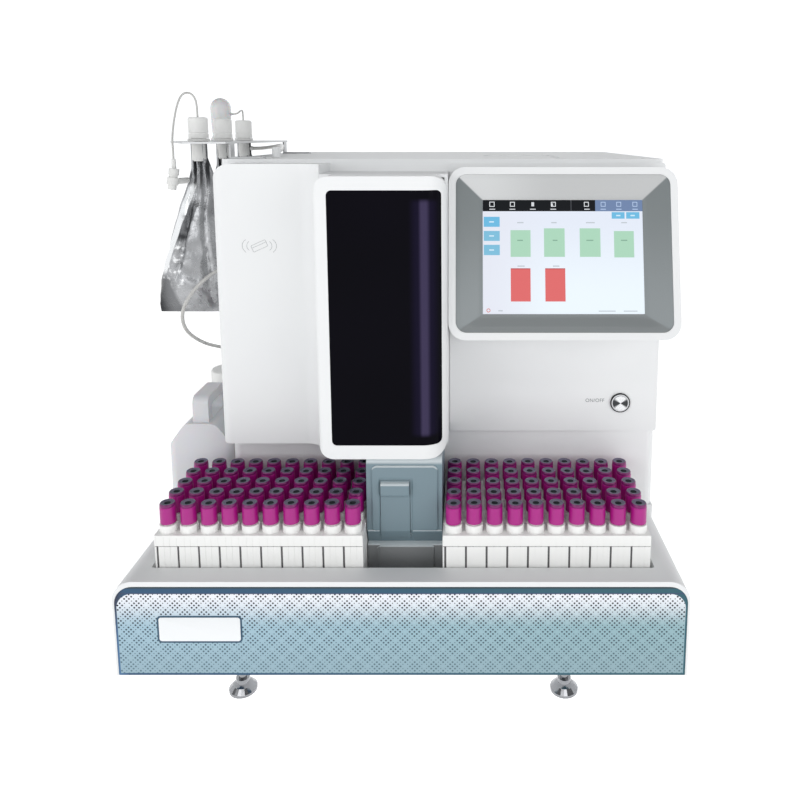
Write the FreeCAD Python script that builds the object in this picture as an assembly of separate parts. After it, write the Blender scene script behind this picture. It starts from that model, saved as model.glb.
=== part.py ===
import FreeCAD, Part
import math
import os
from FreeCAD import Vector as V

# A bench-top glycohemoglobin analyzer: a white housing on a wide sample deck with ten tube racks,
# a dark front door, a tilted touch screen, reagent pouches hung at the left and a waste canister.
# Millimetres, +Z up, -Y towards the operator. The parts are drawn with X = 0 at the middle of the
# base and Z = 0 on the bench, and are moved at the end so that the origin is the middle of the
# footprint.

# Flats round a turned form, a slim bar, a cap, a sample tube and a free tube
ROUND_SIDES = 24
SLIM_SIDES = 12
CAP_SIDES = 8
TUBE_SIDES = 6
HEX = 6

# Base and sample deck
BASE_WIDTH = 544.0
BASE_FRONT = -250.0
BASE_BACK = 247.0
BASE_UNDERSIDE = 27.0
DECK_TOP = 123.0
BASE_CORNER = 20.0
TRAY_BACK = -97.0
PIT_FRONT = -227.0
PIT_SIDE_GAP = 4.0
PIT_END_GAP = 2.0
PIT_DEPTH = 26.0

# Front fascia, a bent-edge sheet let into the front of the base
FASCIA_THICK = 3.0
FASCIA_TOP_LIP = 5.0
FASCIA_SIDE_LIP = 2.2

# Levelling feet
FOOT_PAD_RADIUS = 13.5
FOOT_STEM_RADIUS = 4.0
FOOT_STEM_REACH = 14.0
FOOT_RIM = 2.5
FOOT_DOME = 6.5
FOOT_COLLAR = 2.5
FOOT_COLLAR_LOW = 8.5
FOOT_COLLAR_HIGH = 13.0
FOOT_SPACING_X = 314.0
FOOT_FRONT_Y = -234.0
FOOT_BACK_Y = 220.0
THREAD_GAP = 0.08

# Tube racks, tubes and caps
RACKS_PER_SIDE = 5
TUBES_PER_RACK = 10
TUBE_PITCH = 20.0
RACK_LENGTH = 201.0
RACK_DEPTH = 22.0
RACK_HEIGHT = 58.0
RACK_ROW_PITCH = 23.0
RACK_SIDE_GAP = 1.0
RACK_SEAT_GAP = 0.2
RACK_WALL = 3.0
POCKET_WIDTH = 13.6
SLOT_WIDTH = 2.0
SLOT_DEPTH = 2.4
SLOT_TOP_BAND = 11.0
TUBE_RADIUS = 6.5
TUBE_LENGTH = 64.0
CAP_RADIUS = 7.7
CAP_HEIGHT = 20.0

# Feeder housing with the flap for single samples
FEEDER_WIDTH = 75.0
FEEDER_FRONT = -200.0
FEEDER_TOP = 221.7
FEEDER_FOLD = 146.0
FEEDER_STEP = 130.0
FEEDER_STEP_DEPTH = 9.0
FLAP_LEFT = -24.0
FLAP_RIGHT = 6.0
FLAP_BOTTOM = 137.0
FLAP_TOP = 200.0
FLAP_THICK = 3.0
FLAP_GAP = 0.5
FLAP_PIN_RADIUS = 1.5
FLAP_AXIS_IN = 4.5
FLAP_AXIS_UP = 3.0
GRIP_HEIGHT = 15.0
GRIP_PROUD = 5.0
PORT_DEPTH = 22.0
PORT_WALL = 4.0

# Main housing
HOUSING_LEFT = -200.0
HOUSING_RIGHT = 272.0
HOUSING_FRONT = -104.0
HOUSING_TOP = 512.0
HOUSING_WALL = 3.0
HOUSING_CORNER = 10.0
SEAM_HEIGHT = 212.0
PANEL_THICK = 3.0

# Left cover
COVER_FRONT = -132.0
COVER_BOTTOM = 208.0
COVER_BELOW_TOP = 4.0
COVER_LEFT_CORNER = 20.0
COVER_SWEEP = 28.0
COVER_EDGE = 10.0

# Tower, door and window
DOOR_LEFT = -83.0
DOOR_RIGHT = 43.0
DOOR_FRONT = -202.0
DOOR_BACK = -165.3
DOOR_BOTTOM = 222.0
DOOR_TOP = 499.0
DOOR_WALL = 4.0
DOOR_CURVE = 25.0
DOOR_CORNER = 15.0
DOOR_GAP = 0.3
WINDOW_LEFT = -70.0
WINDOW_RIGHT = 37.6
WINDOW_BOTTOM = 236.0
WINDOW_TOP = 486.0
WINDOW_CORNER = 5.0
WINDOW_SUNK = 0.6
TOWER_BACK = -2.0
TOWER_WALL = 3.0
HINGE_PIN_RADIUS = 2.5
HINGE_GAP = 0.08
HINGE_INSET = 7.5
HINGE_LUG = 10.0
HINGE_LOW = 262.0
HINGE_HIGH = 448.0

# Monitor
MONITOR_LEFT = 43.5
MONITOR_RIGHT = 275.0
MONITOR_FOOT_Y = -180.0
MONITOR_FOOT_Z = 336.0
MONITOR_FACE = 173.9
MONITOR_TILT = 13.64
MONITOR_CORNER = 17.0
MONITOR_DEPTH = 120.0
BEZEL_EDGE = 7.3
BEZEL_DEEP = 9.0
BEZEL_CORNER = 11.0
BEZEL_RIM = 3.0
BEZEL_DISH = 5.0
SCREEN_LEFT = 78.0
SCREEN_RIGHT = 240.0
SCREEN_LOW = 25.7
SCREEN_HIGH = 141.0
SCREEN_THICK = 2.0

# Power button
BUTTON_X = 231.4
BUTTON_Z = 244.6
BUTTON_RADIUS = 8.2
BUTTON_BEZEL_RADIUS = 11.0
BUTTON_BARREL_RADIUS = 9.2
BUTTON_FLANGE = 2.0
BUTTON_BARREL = 16.0
BUTTON_GAP = 0.08
BUTTON_PROUD = 1.0
BUTTON_LENGTH = 10.0

# Top lid
LID_LEFT = -150.0
LID_RIGHT = 226.0
LID_FRONT = -90.0
LID_BACK = 239.5
LID_THICK = 2.5
LID_GAP = 1.0
LID_LEDGE = 8.0
LID_PIN_RADIUS = 1.1
LID_PIN_LENGTH = 4.0
LID_AXIS_IN = 4.0
DISH_LEFT = 83.0
DISH_RIGHT = 167.0
DISH_FRONT = -75.0
DISH_BACK = 60.0
DISH_DEPTH = 1.0

# Back panel, fan and inlet
BACK_PANEL_THICK = 2.0
BACK_PANEL_EDGE = 18.0
FAN_X = -120.0
FAN_BELOW_TOP = 92.0
FAN_SIZE = 92.0
FAN_DEPTH = 25.0
FAN_BORE = 43.0
FAN_HUB = 18.0
FAN_BLADES = 7
FAN_BLADE_THICK = 1.6
FAN_SLOTS = 9
INLET_X = 205.0
INLET_Z = 170.0
INLET_WIDTH = 27.5
INLET_HEIGHT = 20.0
INLET_DEPTH = 18.0
INLET_WALL = 2.0
INLET_FLANGE = 4.0
INLET_FLANGE_THICK = 1.5
INLET_PINS = ((-7.0, -1.0), (0.0, 3.0), (7.0, -1.0))

# Reagent shelf, pouches and their caps
SHELF_RISE = 16.0
SHELF_THICK = 2.0
SHELF_RIGHT = -190.0
SHELF_LEFT = -300.0
SHELF_FRONT = -112.0
SHELF_BACK = 160.0
LEG_WIDTH = 14.0
LEG_FRONT_Y = -96.0
LEG_BACK_Y = 140.0
LEG_FOOT = 34.0
POUCH_X = -240.0
POUCH_YS = (-50.0, 36.0, 122.0)
POUCH_CENTRE_X = -251.0
POUCH_HANG = 194.0
POUCH_HEIGHT = 180.0
POUCH_WIDTH = 92.0
POUCH_DEPTH = 54.0
POUCH_SEAM = 3.0
SPOUT_SUNK = 4.0
SPOUT_RADIUS = 8.0
SPOUT_COLLAR = 12.0
SCREW_CAP_RADIUS = 11.0
SCREW_CAP_HEIGHT = 22.0
SCREW_CAP_GAP = 0.3
SCREW_CAP_LIFT = 3.5
SCREW_CAP_ROOF = 1.5
CAP_CHAMFER = 1.0
TRAP_X = -276.0
TRAP_Y = 141.0
TRAP_RADIUS = 14.4
TRAP_HEIGHT = 58.0
TRAP_FLARE = 6.0
TRAP_WAIST = 1.8
TRAP_PORT_UP = 36.0
DOME_STEPS = 5
NIPPLE_RADIUS = 1.7
NIPPLE_PROUD = 1.6
HOSE_BARB_RADIUS = 2.9
HOSE_BARB_LENGTH = 4.0
DRAIN_X = -257.0
DRAIN_FORWARD = 32.0
DRAIN_TIP = 500.0
DRAIN_NIPPLE = 11.0
DRAIN_RADIUS = 4.5
DRAIN_LENGTH = 22.0
DRAIN_RING_RADIUS = 6.0
DRAIN_RING_LENGTH = 8.0
DRAIN_ELBOW_RADIUS = 5.5
DRAIN_INLET_RADIUS = 3.4
DRAIN_INLET_LENGTH = 30.0
SUPPLY_X = -157.0
SUPPLY_Y = -34.0
SUPPLY_UP = 7.5
SUPPLY_POST_RADIUS = 5.0
SUPPLY_REACH = 10.0

# Waste canister
CAN_LEFT = -278.0
CAN_RIGHT = -203.0
CAN_FRONT = -91.0
CAN_BACK = 98.0
CAN_SHOULDER = 186.0
CAN_TOP = 213.0
CAN_SLOPE = 20.0
CAN_EDGE = 10.0
CAN_NECK_Y = 20.0
CAN_NECK_RADIUS = 18.0
CAN_CAP_RADIUS = 22.5
CAN_NECK_HEIGHT = 23.0
CAN_CAP_HEIGHT = 30.0
HANDLE_LENGTH = 62.0
HANDLE_SETBACK = 5.0
HANDLE_WIDTH = 18.0
HANDLE_THICK = 12.0
HANDLE_RISE = 30.0

# Free tubes
THIN_TUBE = 2.2
WASTE_TUBE = 4.0
SUPPLY_TUBE = 4.6

# Sampling probe in the door chamber
RAIL_Z = 446.0
RAIL_WIDTH = 8.0
RAIL_HEIGHT = 12.0
RAIL_SETBACK = 8.0
RUN_GAP = 0.3
CARRIAGE_Y = -150.0
CARRIAGE_LENGTH = 30.0
CARRIAGE_WIDTH = 37.0
CARRIAGE_HEIGHT = 40.0
CARRIAGE_OFF_WALL = 1.0
GUIDE_WIDTH = 8.0
GUIDE_DEPTH = 14.0
GUIDE_SPARE = 25.0
SLIDER_THICK = 8.0
SLIDER_DEPTH = 22.0
SLIDER_DROP = 30.0
NEEDLE_X = 0.0
NEEDLE_RADIUS = 1.2
NEEDLE_TIP = 250.0
NEEDLE_PORT = 9.0
NEEDLE_WELL = 50.0
ARM_Z = 430.0
ARM_HEIGHT = 10.0
ARM_DEPTH = 14.0
ARM_END = 8.0
HOLDER_RADIUS = 4.5
HOLDER_DROP = 28.0
PROBE_TRAVEL = 80.0
PROBE_DROP = 45.0

# Column oven and injection valve in the door chamber
OVEN_WIDTH = 26.0
OVEN_DEPTH = 60.0
OVEN_HEIGHT = 150.0
OVEN_LIFT = 12.0
OVEN_FOOT_WIDTH = 20.0
OVEN_FOOT_DEPTH = 40.0
COLUMN_RADIUS = 4.0
COLUMN_LENGTH = 96.0
COLUMN_UP = 28.0
VALVE_WIDTH = 44.0
VALVE_DEPTH = 42.0
VALVE_HEIGHT = 56.0
VALVE_AXIS_UP = 30.0
STATOR_RADIUS = 16.0
STATOR_LENGTH = 10.0
VALVE_PORTS = 6
PORT_CIRCLE = 10.0
PORT_NUT_RADIUS = 2.4
PORT_NUT_LENGTH = 6.0

# Pump, detector, power supply and control board in the main housing
WORKS_MARGIN = 10.0
WORKS_SETBACK = 14.0
SUPPLY_BACK = 32.0
PUMP_X = 145.0
PUMP_WIDTH = 110.0
PUMP_DEPTH = 80.0
PUMP_HEIGHT = 90.0
PUMP_HEAD_RADIUS = 16.0
PUMP_HEAD_LENGTH = 8.0
PUMP_HEAD_SPACING = 52.0
PUMP_HEAD_UP = 55.0
DETECTOR_WIDTH = 90.0
DETECTOR_DEPTH = 70.0
DETECTOR_HEIGHT = 70.0
LAMP_RADIUS = 20.0
LAMP_HEIGHT = 23.0
BOX_WIDTH = 120.0
BOX_DEPTH = 155.0
BOX_HEIGHT = 60.0
RIB_COUNT = 7
RIB_PITCH = 18.0
RIB_THICK = 4.0
RIB_RISE = 6.0
BOARD_LEFT = 20.0
BOARD_FRONT = 70.0
BOARD_WIDTH = 160.0
BOARD_DEPTH = 140.0
BOARD_THICK = 1.6
POST_RADIUS = 3.0
POST_HEIGHT = 8.0
POST_INSET = 8.0
CHIPS = ((40, 50, 30, 30, 3.0), (100, 14, 48, 12, 11.0), (10, 100, 20, 26, 15.0))

# Values that follow from the ones above
PIT_BACK = PIT_FRONT + PIT_END_GAP + RACKS_PER_SIDE * RACK_ROW_PITCH
PIT_FLOOR = DECK_TOP - PIT_DEPTH
RACK_TOP = PIT_FLOOR + RACK_SEAT_GAP + RACK_HEIGHT
TUBE_FOOT = PIT_FLOOR + RACK_SEAT_GAP + RACK_WALL
CAP_FOOT = TUBE_FOOT + TUBE_LENGTH
FIRST_ROW_Y = PIT_FRONT + 0.75 * PIT_END_GAP + RACK_DEPTH / 2
RACK_INNER_X = FEEDER_WIDTH / 2 + RACK_SIDE_GAP
PIT_WIDTH = 2 * (RACK_INNER_X + RACK_LENGTH + PIT_SIDE_GAP)
HOUSING_BACK = BASE_BACK
COVER_TOP = HOUSING_TOP - COVER_BELOW_TOP
FAN_Z = HOUSING_TOP - FAN_BELOW_TOP
SHELF_Z = HOUSING_TOP + SHELF_RISE
POUCH_BOTTOM = SHELF_Z - POUCH_HANG
PANEL_FRONT = HOUSING_FRONT - PANEL_THICK
HINGE_X = DOOR_LEFT + HINGE_INSET
HINGE_Y = DOOR_BACK - HINGE_INSET
LID_AXIS_Y = LID_BACK - LID_AXIS_IN
LID_AXIS_Z = HOUSING_TOP - LID_THICK / 2
FLAP_AXIS_Y = FEEDER_FRONT + FLAP_AXIS_IN
FLAP_AXIS_Z = FLAP_BOTTOM + FLAP_AXIS_UP
SHELF_TOP = SHELF_Z + SHELF_THICK
CARRIAGE_MID_Y = CARRIAGE_Y + CARRIAGE_LENGTH / 2
GUIDE_DROP = PROBE_DROP + GUIDE_SPARE
CHAMBER_LEFT = DOOR_LEFT + TOWER_WALL
CAN_NECK_X = (CAN_LEFT + CAN_RIGHT) / 2
CAN_CAP_TOP = CAN_TOP + CAN_CAP_HEIGHT
CAP_CENTRE_TOP = SHELF_TOP + SCREW_CAP_LIFT + SCREW_CAP_HEIGHT + SCREW_CAP_ROOF
BARB_Z = SHELF_Z - 8.5
DRAIN_Y = POUCH_YS[0] - DRAIN_FORWARD
TILT = math.radians(MONITOR_TILT)

parts = {}


def box(x0, x1, y0, y1, z0, z1):
    """A block between two corners."""
    return Part.makeBox(x1 - x0, y1 - y0, z1 - z0, V(x0, y0, z0))


def plan(z):
    """The horizontal plane at height z: outline points are (x, y)."""
    return lambda u, v: V(u, v, z)


def front(y):
    """The upright plane facing the operator at depth y: outline points are (x, z)."""
    return lambda u, v: V(u, y, v)


def side(x):
    """The upright plane facing sideways at x: outline points are (y, z)."""
    return lambda u, v: V(x, u, v)


def face(w):
    """A plane parallel to the tilted monitor face, w behind it: outline points are (x, up)."""
    def place(u, v):
        y = MONITOR_FOOT_Y + v * math.sin(TILT) + w * math.cos(TILT)
        z = MONITOR_FOOT_Z + v * math.cos(TILT) - w * math.sin(TILT)
        return V(u, y, z)
    return place


BACK_OF_FACE = V(0, math.cos(TILT), -math.sin(TILT))


def outline(corners, plane):
    """A closed wire through (u, v, radius) corners, each rounded to its own radius."""
    points = [plane(corner[0], corner[1]) for corner in corners]
    radii = [corner[2] if len(corner) > 2 else 0.0 for corner in corners]
    count = len(points)
    starts = []
    arcs = []
    for i in range(count):
        before = (points[i - 1] - points[i]).normalize()
        after = (points[(i + 1) % count] - points[i]).normalize()
        if radii[i] == 0.0:
            starts.append((points[i], points[i]))
            arcs.append(None)
            continue
        half = before.getAngle(after) / 2
        reach = radii[i] / math.tan(half)
        inward = (before + after).normalize()
        middle = points[i] + inward * (radii[i] / math.sin(half) - radii[i])
        starts.append((points[i] + before * reach, points[i] + after * reach))
        arcs.append(middle)
    edges = []
    for i in range(count):
        if arcs[i] is not None:
            edges.append(Part.Arc(starts[i][0], arcs[i], starts[i][1]).toShape())
        leave = starts[i][1]
        arrive = starts[(i + 1) % count][0]
        if leave.distanceToPoint(arrive) > 1e-6:
            edges.append(Part.LineSegment(leave, arrive).toShape())
    return Part.Wire(edges)


def slab(corners, plane, along):
    """The solid that a rounded outline sweeps along a vector."""
    return Part.Face(outline(corners, plane)).extrude(along)


def rect(u0, u1, v0, v1, radius=0.0):
    """The four corners of a rectangle with one corner radius."""
    return [(u0, v0, radius), (u1, v0, radius), (u1, v1, radius), (u0, v1, radius)]


def regular(centre, radius, along, sides):
    """A regular polygon about a centre, square to a direction, with a flat towards +X or upwards."""
    level = V(0, 0, 1) if abs(along.z) < 0.9 else V(1, 0, 0)
    across = along.cross(level).normalize()
    up = across.cross(along)
    corners = []
    for i in range(sides):
        angle = (i + 0.5) * 2 * math.pi / sides
        corners.append(centre + across * (radius * math.sin(angle)) + up * (radius * math.cos(angle)))
    return Part.makePolygon(corners + corners[:1])


def disc(x, y, z, radius, height, along=V(0, 0, 1), sides=ROUND_SIDES):
    """A round bar from a point along a direction, with flats."""
    heading = V(along).normalize()
    return Part.Face(regular(V(x, y, z), radius, heading, sides)).extrude(heading * height)


def skinned(rings):
    """One solid through level rings of as many points each, with a flat face at both ends."""
    faces = [Part.Face(Part.makePolygon(ring + ring[:1])) for ring in (rings[0], rings[-1])]
    for low, high in zip(rings, rings[1:]):
        for i in range(len(low)):
            near = (i + 1) % len(low)
            faces.append(Part.Face(Part.makePolygon([low[i], low[near], high[near], high[i], low[i]])))
    shell = Part.makeShell(faces)
    shell.sewShape()
    solid = Part.makeSolid(shell)
    if solid.Volume < 0:
        solid.reverse()
    return solid.removeSplitter()


def turned(profile, x, y, sides=ROUND_SIDES):
    """A solid turned about the upright line at x, y, from (radius, z) points, foot first."""
    rings = []
    for radius, z in profile:
        angles = [(i + 0.5) * 2 * math.pi / sides for i in range(sides)]
        rings.append([V(x + radius * math.cos(a), y + radius * math.sin(a), z) for a in angles])
    return skinned(rings)


def fused(shapes):
    """One solid from pieces that meet."""
    whole = shapes[0].fuse(shapes[1:]) if len(shapes) > 1 else shapes[0]
    return whole.removeSplitter()


def base_housing():
    """The moulded base: a wide front tray with a pit for the racks, and a foot for the housing."""
    half = BASE_WIDTH / 2
    section = [(-half, BASE_UNDERSIDE, 0), (half, BASE_UNDERSIDE, 0),
               (half, DECK_TOP, BASE_CORNER), (-half, DECK_TOP, BASE_CORNER)]
    body = slab(section, front(BASE_FRONT), V(0, TRAY_BACK - BASE_FRONT, 0))
    rear = slab([(HOUSING_LEFT, HOUSING_FRONT, 0), (HOUSING_RIGHT, HOUSING_FRONT, 0),
                 (HOUSING_RIGHT, BASE_BACK, HOUSING_CORNER), (HOUSING_LEFT, BASE_BACK, HOUSING_CORNER)],
                plan(BASE_UNDERSIDE), V(0, 0, DECK_TOP - BASE_UNDERSIDE))
    body = fused([body, rear])
    pit = slab(rect(-PIT_WIDTH / 2, PIT_WIDTH / 2, PIT_FRONT, PIT_BACK, 3.0), plan(PIT_FLOOR),
               V(0, 0, PIT_DEPTH + 1))
    body = body.cut(pit)
    body = body.cut(slab(fascia_outline(0.0), front(BASE_FRONT - 1), V(0, FASCIA_THICK + 1, 0)))
    for x, y in foot_places():
        body = body.cut(disc(x, y, BASE_UNDERSIDE, FOOT_STEM_RADIUS + THREAD_GAP,
                             FOOT_STEM_REACH + 1))
    return body


def fascia_outline(gap):
    """The front outline of the fascia, smaller by a gap at the top and sides."""
    half = BASE_WIDTH / 2 - FASCIA_SIDE_LIP - gap
    top = DECK_TOP - FASCIA_TOP_LIP - gap
    corner = BASE_CORNER - FASCIA_SIDE_LIP - gap
    return [(-half, BASE_UNDERSIDE, 0), (half, BASE_UNDERSIDE, 0), (half, top, corner),
            (-half, top, corner)]


def front_fascia():
    """The printed fascia sheet, flush with the front of the base."""
    return slab(fascia_outline(0.2), front(BASE_FRONT + 0.2), V(0, FASCIA_THICK - 0.2, 0))


def foot_places():
    """The four levelling feet, front left first."""
    half = FOOT_SPACING_X / 2
    return [(-half, FOOT_FRONT_Y), (half, FOOT_FRONT_Y), (-half, FOOT_BACK_Y), (half, FOOT_BACK_Y)]


def levelling_foot(x, y):
    """A turned foot: domed pad, nut collar and threaded stem."""
    pad = FOOT_PAD_RADIUS
    stem = FOOT_STEM_RADIUS
    collar = stem + FOOT_COLLAR
    profile = [(pad, 0), (pad, FOOT_RIM), (pad * 0.7, FOOT_DOME), (collar, FOOT_COLLAR_LOW),
               (collar, FOOT_COLLAR_HIGH), (stem, FOOT_COLLAR_HIGH),
               (stem, BASE_UNDERSIDE + FOOT_STEM_REACH)]
    return turned(profile, x, y)


def rack_places():
    """Name and corner of every rack: left racks first, front row first."""
    places = []
    for word, x in (("left", -RACK_INNER_X - RACK_LENGTH), ("right", RACK_INNER_X)):
        for row in range(RACKS_PER_SIDE):
            y = FIRST_ROW_Y + row * RACK_ROW_PITCH - RACK_DEPTH / 2
            places.append(("rack_%s_%d" % (word, row + 1), x, y))
    return places


def cell_centres(x, y):
    """The middle of each tube in the rack whose corner is x, y."""
    first = x + (RACK_LENGTH - (TUBES_PER_RACK - 1) * TUBE_PITCH) / 2
    return [(first + i * TUBE_PITCH, y + RACK_DEPTH / 2) for i in range(TUBES_PER_RACK)]


def tube_rack(x, y):
    """A moulded rack: ten square pockets from above and a narrow slot beside each in front."""
    foot = PIT_FLOOR + RACK_SEAT_GAP
    body = box(x, x + RACK_LENGTH, y, y + RACK_DEPTH, foot, RACK_TOP)
    cuts = []
    for cx, cy in cell_centres(x, y):
        half = POCKET_WIDTH / 2
        cuts.append(box(cx - half, cx + half, cy - half, cy + half, foot + RACK_WALL, RACK_TOP + 1))
        left = cx - TUBE_PITCH / 2 + SLOT_WIDTH / 2
        cuts.append(box(left, left + SLOT_WIDTH, y - 1, y + SLOT_DEPTH, foot + RACK_WALL,
                        RACK_TOP - SLOT_TOP_BAND))
    return body.cut(Part.makeCompound(cuts))


def sample_tubes():
    """A sealed sample tube in every pocket."""
    tubes = []
    for name, x, y in rack_places():
        for cx, cy in cell_centres(x, y):
            tubes.append(disc(cx, cy, TUBE_FOOT, TUBE_RADIUS, TUBE_LENGTH, sides=TUBE_SIDES))
    return Part.makeCompound(tubes)


def tube_caps():
    """The cap of every tube, seated on its rim."""
    caps = []
    for name, x, y in rack_places():
        for cx, cy in cell_centres(x, y):
            caps.append(disc(cx, cy, CAP_FOOT, CAP_RADIUS, CAP_HEIGHT, sides=CAP_SIDES))
    return Part.makeCompound(caps)


def feeder_housing():
    """The grey middle housing: raised panel, fold, step, flap recess and port for a single tube."""
    half = FEEDER_WIDTH / 2
    fold_in = FEEDER_FRONT + FEEDER_STEP_DEPTH
    low = FEEDER_FRONT + 4
    profile = [(low, PIT_FLOOR, 0), (low, FEEDER_STEP - 1, 2.0), (fold_in, FEEDER_STEP, 0),
               (FEEDER_FRONT, FEEDER_FOLD, 2.0), (FEEDER_FRONT, FEEDER_TOP, 8.0),
               (PIT_BACK, FEEDER_TOP, 0), (PIT_BACK, PIT_FLOOR, 0)]
    body = slab(profile, side(-half), V(FEEDER_WIDTH, 0, 0))
    pad = slab(rect(-half + 5, half - 5, FEEDER_FOLD + 2, FEEDER_TOP - 10, 4.0),
               front(FEEDER_FRONT - 1), V(0, 3, 0))
    low_pad = slab(rect(-half + 9, half - 10, PIT_FLOOR + 8, FEEDER_STEP - 3, 3.0),
                   front(low - 1), V(0, 3, 0))
    body = fused([body, pad, low_pad])
    recess_back = FEEDER_FRONT + FLAP_AXIS_IN + 3.0
    recess = box(FLAP_LEFT, FLAP_RIGHT, FEEDER_FRONT - 5, recess_back, FLAP_BOTTOM, FLAP_TOP)
    port = box(FLAP_LEFT + PORT_WALL, FLAP_RIGHT - PORT_WALL, FEEDER_FRONT,
               FEEDER_FRONT + FLAP_THICK + PORT_DEPTH, FLAP_BOTTOM + PORT_WALL, FLAP_TOP - PORT_WALL)
    reach = FLAP_RIGHT - FLAP_LEFT + 8
    pin_hole = disc(FLAP_LEFT - 4, FLAP_AXIS_Y, FLAP_AXIS_Z, FLAP_PIN_RADIUS + HINGE_GAP, reach,
                    V(1, 0, 0))
    well = box(NEEDLE_X - NEEDLE_PORT, NEEDLE_X + NEEDLE_PORT, CARRIAGE_MID_Y - NEEDLE_PORT,
               PIT_BACK + 1, FEEDER_TOP - NEEDLE_WELL, FEEDER_TOP + 1)
    return body.cut(Part.makeCompound([recess, port])).cut(pin_hole).cut(well)


def stat_flap():
    """The flap in front of the single-sample port: bent plate, hinge barrel, pins and grip bar."""
    outer = FEEDER_FRONT - 1
    inner = outer + FLAP_THICK
    left = FLAP_LEFT + FLAP_GAP
    width = FLAP_RIGHT - FLAP_LEFT - 2 * FLAP_GAP
    top = FLAP_TOP - FLAP_GAP
    profile = [(outer, FEEDER_FOLD, 1.0), (outer, top, 0), (inner, top, 0), (inner, FEEDER_FOLD, 0),
               (FLAP_AXIS_Y + 2, FLAP_AXIS_Z + 0.5, 0), (FLAP_AXIS_Y - 2, FLAP_AXIS_Z - 2, 0)]
    plate = slab(profile, side(left), V(width, 0, 0))
    barrel = disc(left, FLAP_AXIS_Y, FLAP_AXIS_Z, 2.4, width, V(1, 0, 0))
    pins = disc(left - 3, FLAP_AXIS_Y, FLAP_AXIS_Z, FLAP_PIN_RADIUS, width + 6, V(1, 0, 0))
    grip = slab([(outer - GRIP_PROUD, top - GRIP_HEIGHT, 3.0), (outer - GRIP_PROUD, top - 2, 3.0),
                 (outer + 1, top - 1, 0), (outer + 1, top - GRIP_HEIGHT - 1, 0)],
                side(left + 0.5), V(width - 1, 0, 0))
    return fused([plate, barrel, pins, grip])


def tower_section(grow=0.0):
    """The outer block of the tower behind the door."""
    return box(DOOR_LEFT - grow, DOOR_RIGHT + grow, DOOR_BACK + DOOR_GAP, TOWER_BACK,
               DOOR_BOTTOM - grow, DOOR_TOP + grow)


def main_housing():
    """The main case: a moulded shell, open below, with places for tower, lid, back panel, button."""
    wall = HOUSING_WALL
    corners = rect(HOUSING_LEFT, HOUSING_RIGHT, HOUSING_FRONT, HOUSING_BACK, HOUSING_CORNER)
    inner = rect(HOUSING_LEFT + wall, HOUSING_RIGHT - wall, HOUSING_FRONT + wall,
                 HOUSING_BACK - wall, HOUSING_CORNER - wall)
    roof = LID_THICK + wall
    shell = slab(corners, plan(DECK_TOP), V(0, 0, HOUSING_TOP - DECK_TOP))
    shell = shell.cut(slab(inner, plan(DECK_TOP - 1), V(0, 0, HOUSING_TOP - roof - DECK_TOP + 1)))
    well = box(NEEDLE_X - NEEDLE_PORT, NEEDLE_X + NEEDLE_PORT, HOUSING_FRONT - 1,
               HOUSING_FRONT + wall + 1, FEEDER_TOP - NEEDLE_WELL, DOOR_BOTTOM + 1)
    shell = shell.cut(tower_section()).cut(well)
    seat = box(LID_LEFT - LID_GAP, LID_RIGHT + LID_GAP, LID_FRONT - LID_GAP, LID_BACK + LID_GAP,
               HOUSING_TOP - LID_THICK, HOUSING_TOP + 1)
    mouth = box(LID_LEFT + LID_LEDGE, LID_RIGHT - LID_LEDGE, LID_FRONT + LID_LEDGE,
                LID_BACK + LID_GAP, HOUSING_TOP - roof - 1, HOUSING_TOP)
    trench = box(LID_LEFT - LID_GAP, LID_RIGHT + LID_GAP, LID_AXIS_Y - LID_AXIS_IN,
                 LID_BACK + LID_GAP, HOUSING_TOP - roof - 1, HOUSING_TOP)
    reach = LID_RIGHT - LID_LEFT + 2 * LID_GAP + 2 * LID_PIN_LENGTH
    pin_hole = disc(LID_LEFT - LID_GAP - LID_PIN_LENGTH, LID_AXIS_Y, LID_AXIS_Z,
                    LID_PIN_RADIUS + HINGE_GAP, reach, V(1, 0, 0))
    window = box(back_left() + 8, back_right() - 8, HOUSING_BACK - wall - 1, HOUSING_BACK + 1,
                 back_low() + 8, back_high() - 8)
    barrel = disc(BUTTON_X, HOUSING_FRONT - 1, BUTTON_Z, BUTTON_BARREL_RADIUS, wall + 2, V(0, 1, 0))
    shell = shell.cut(Part.makeCompound([seat, mouth])).cut(trench).cut(pin_hole)
    return fused([shell.cut(Part.makeCompound([window, barrel])), supply_port()])


def supply_port():
    """The port for the supply tube: a post on the roof with a barb that points to the back."""
    height = HOUSING_TOP + SUPPLY_UP
    post = disc(SUPPLY_X, SUPPLY_Y, HOUSING_TOP - 1, SUPPLY_POST_RADIUS,
                SUPPLY_UP + 1 + HOSE_BARB_RADIUS + 1)
    barb = disc(SUPPLY_X, SUPPLY_Y, height, HOSE_BARB_RADIUS, SUPPLY_REACH, V(0, 1, 0), SLIM_SIDES)
    return fused([post, barb])


def back_left():
    return HOUSING_LEFT + BACK_PANEL_EDGE


def back_right():
    return HOUSING_RIGHT - BACK_PANEL_EDGE


def back_low():
    return DECK_TOP + BACK_PANEL_EDGE


def back_high():
    return HOUSING_TOP - BACK_PANEL_EDGE


def right_front_panel():
    """The flat panel below and behind the monitor, with the hole for the power button."""
    body = slab(rect(DOOR_RIGHT + 0.5, HOUSING_RIGHT, SEAM_HEIGHT, COVER_TOP, 3.0),
                front(PANEL_FRONT), V(0, PANEL_THICK, 0))
    return body.cut(disc(BUTTON_X, PANEL_FRONT - 1, BUTTON_Z, BUTTON_BARREL_RADIUS,
                         PANEL_THICK + 2, V(0, 1, 0)))


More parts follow.
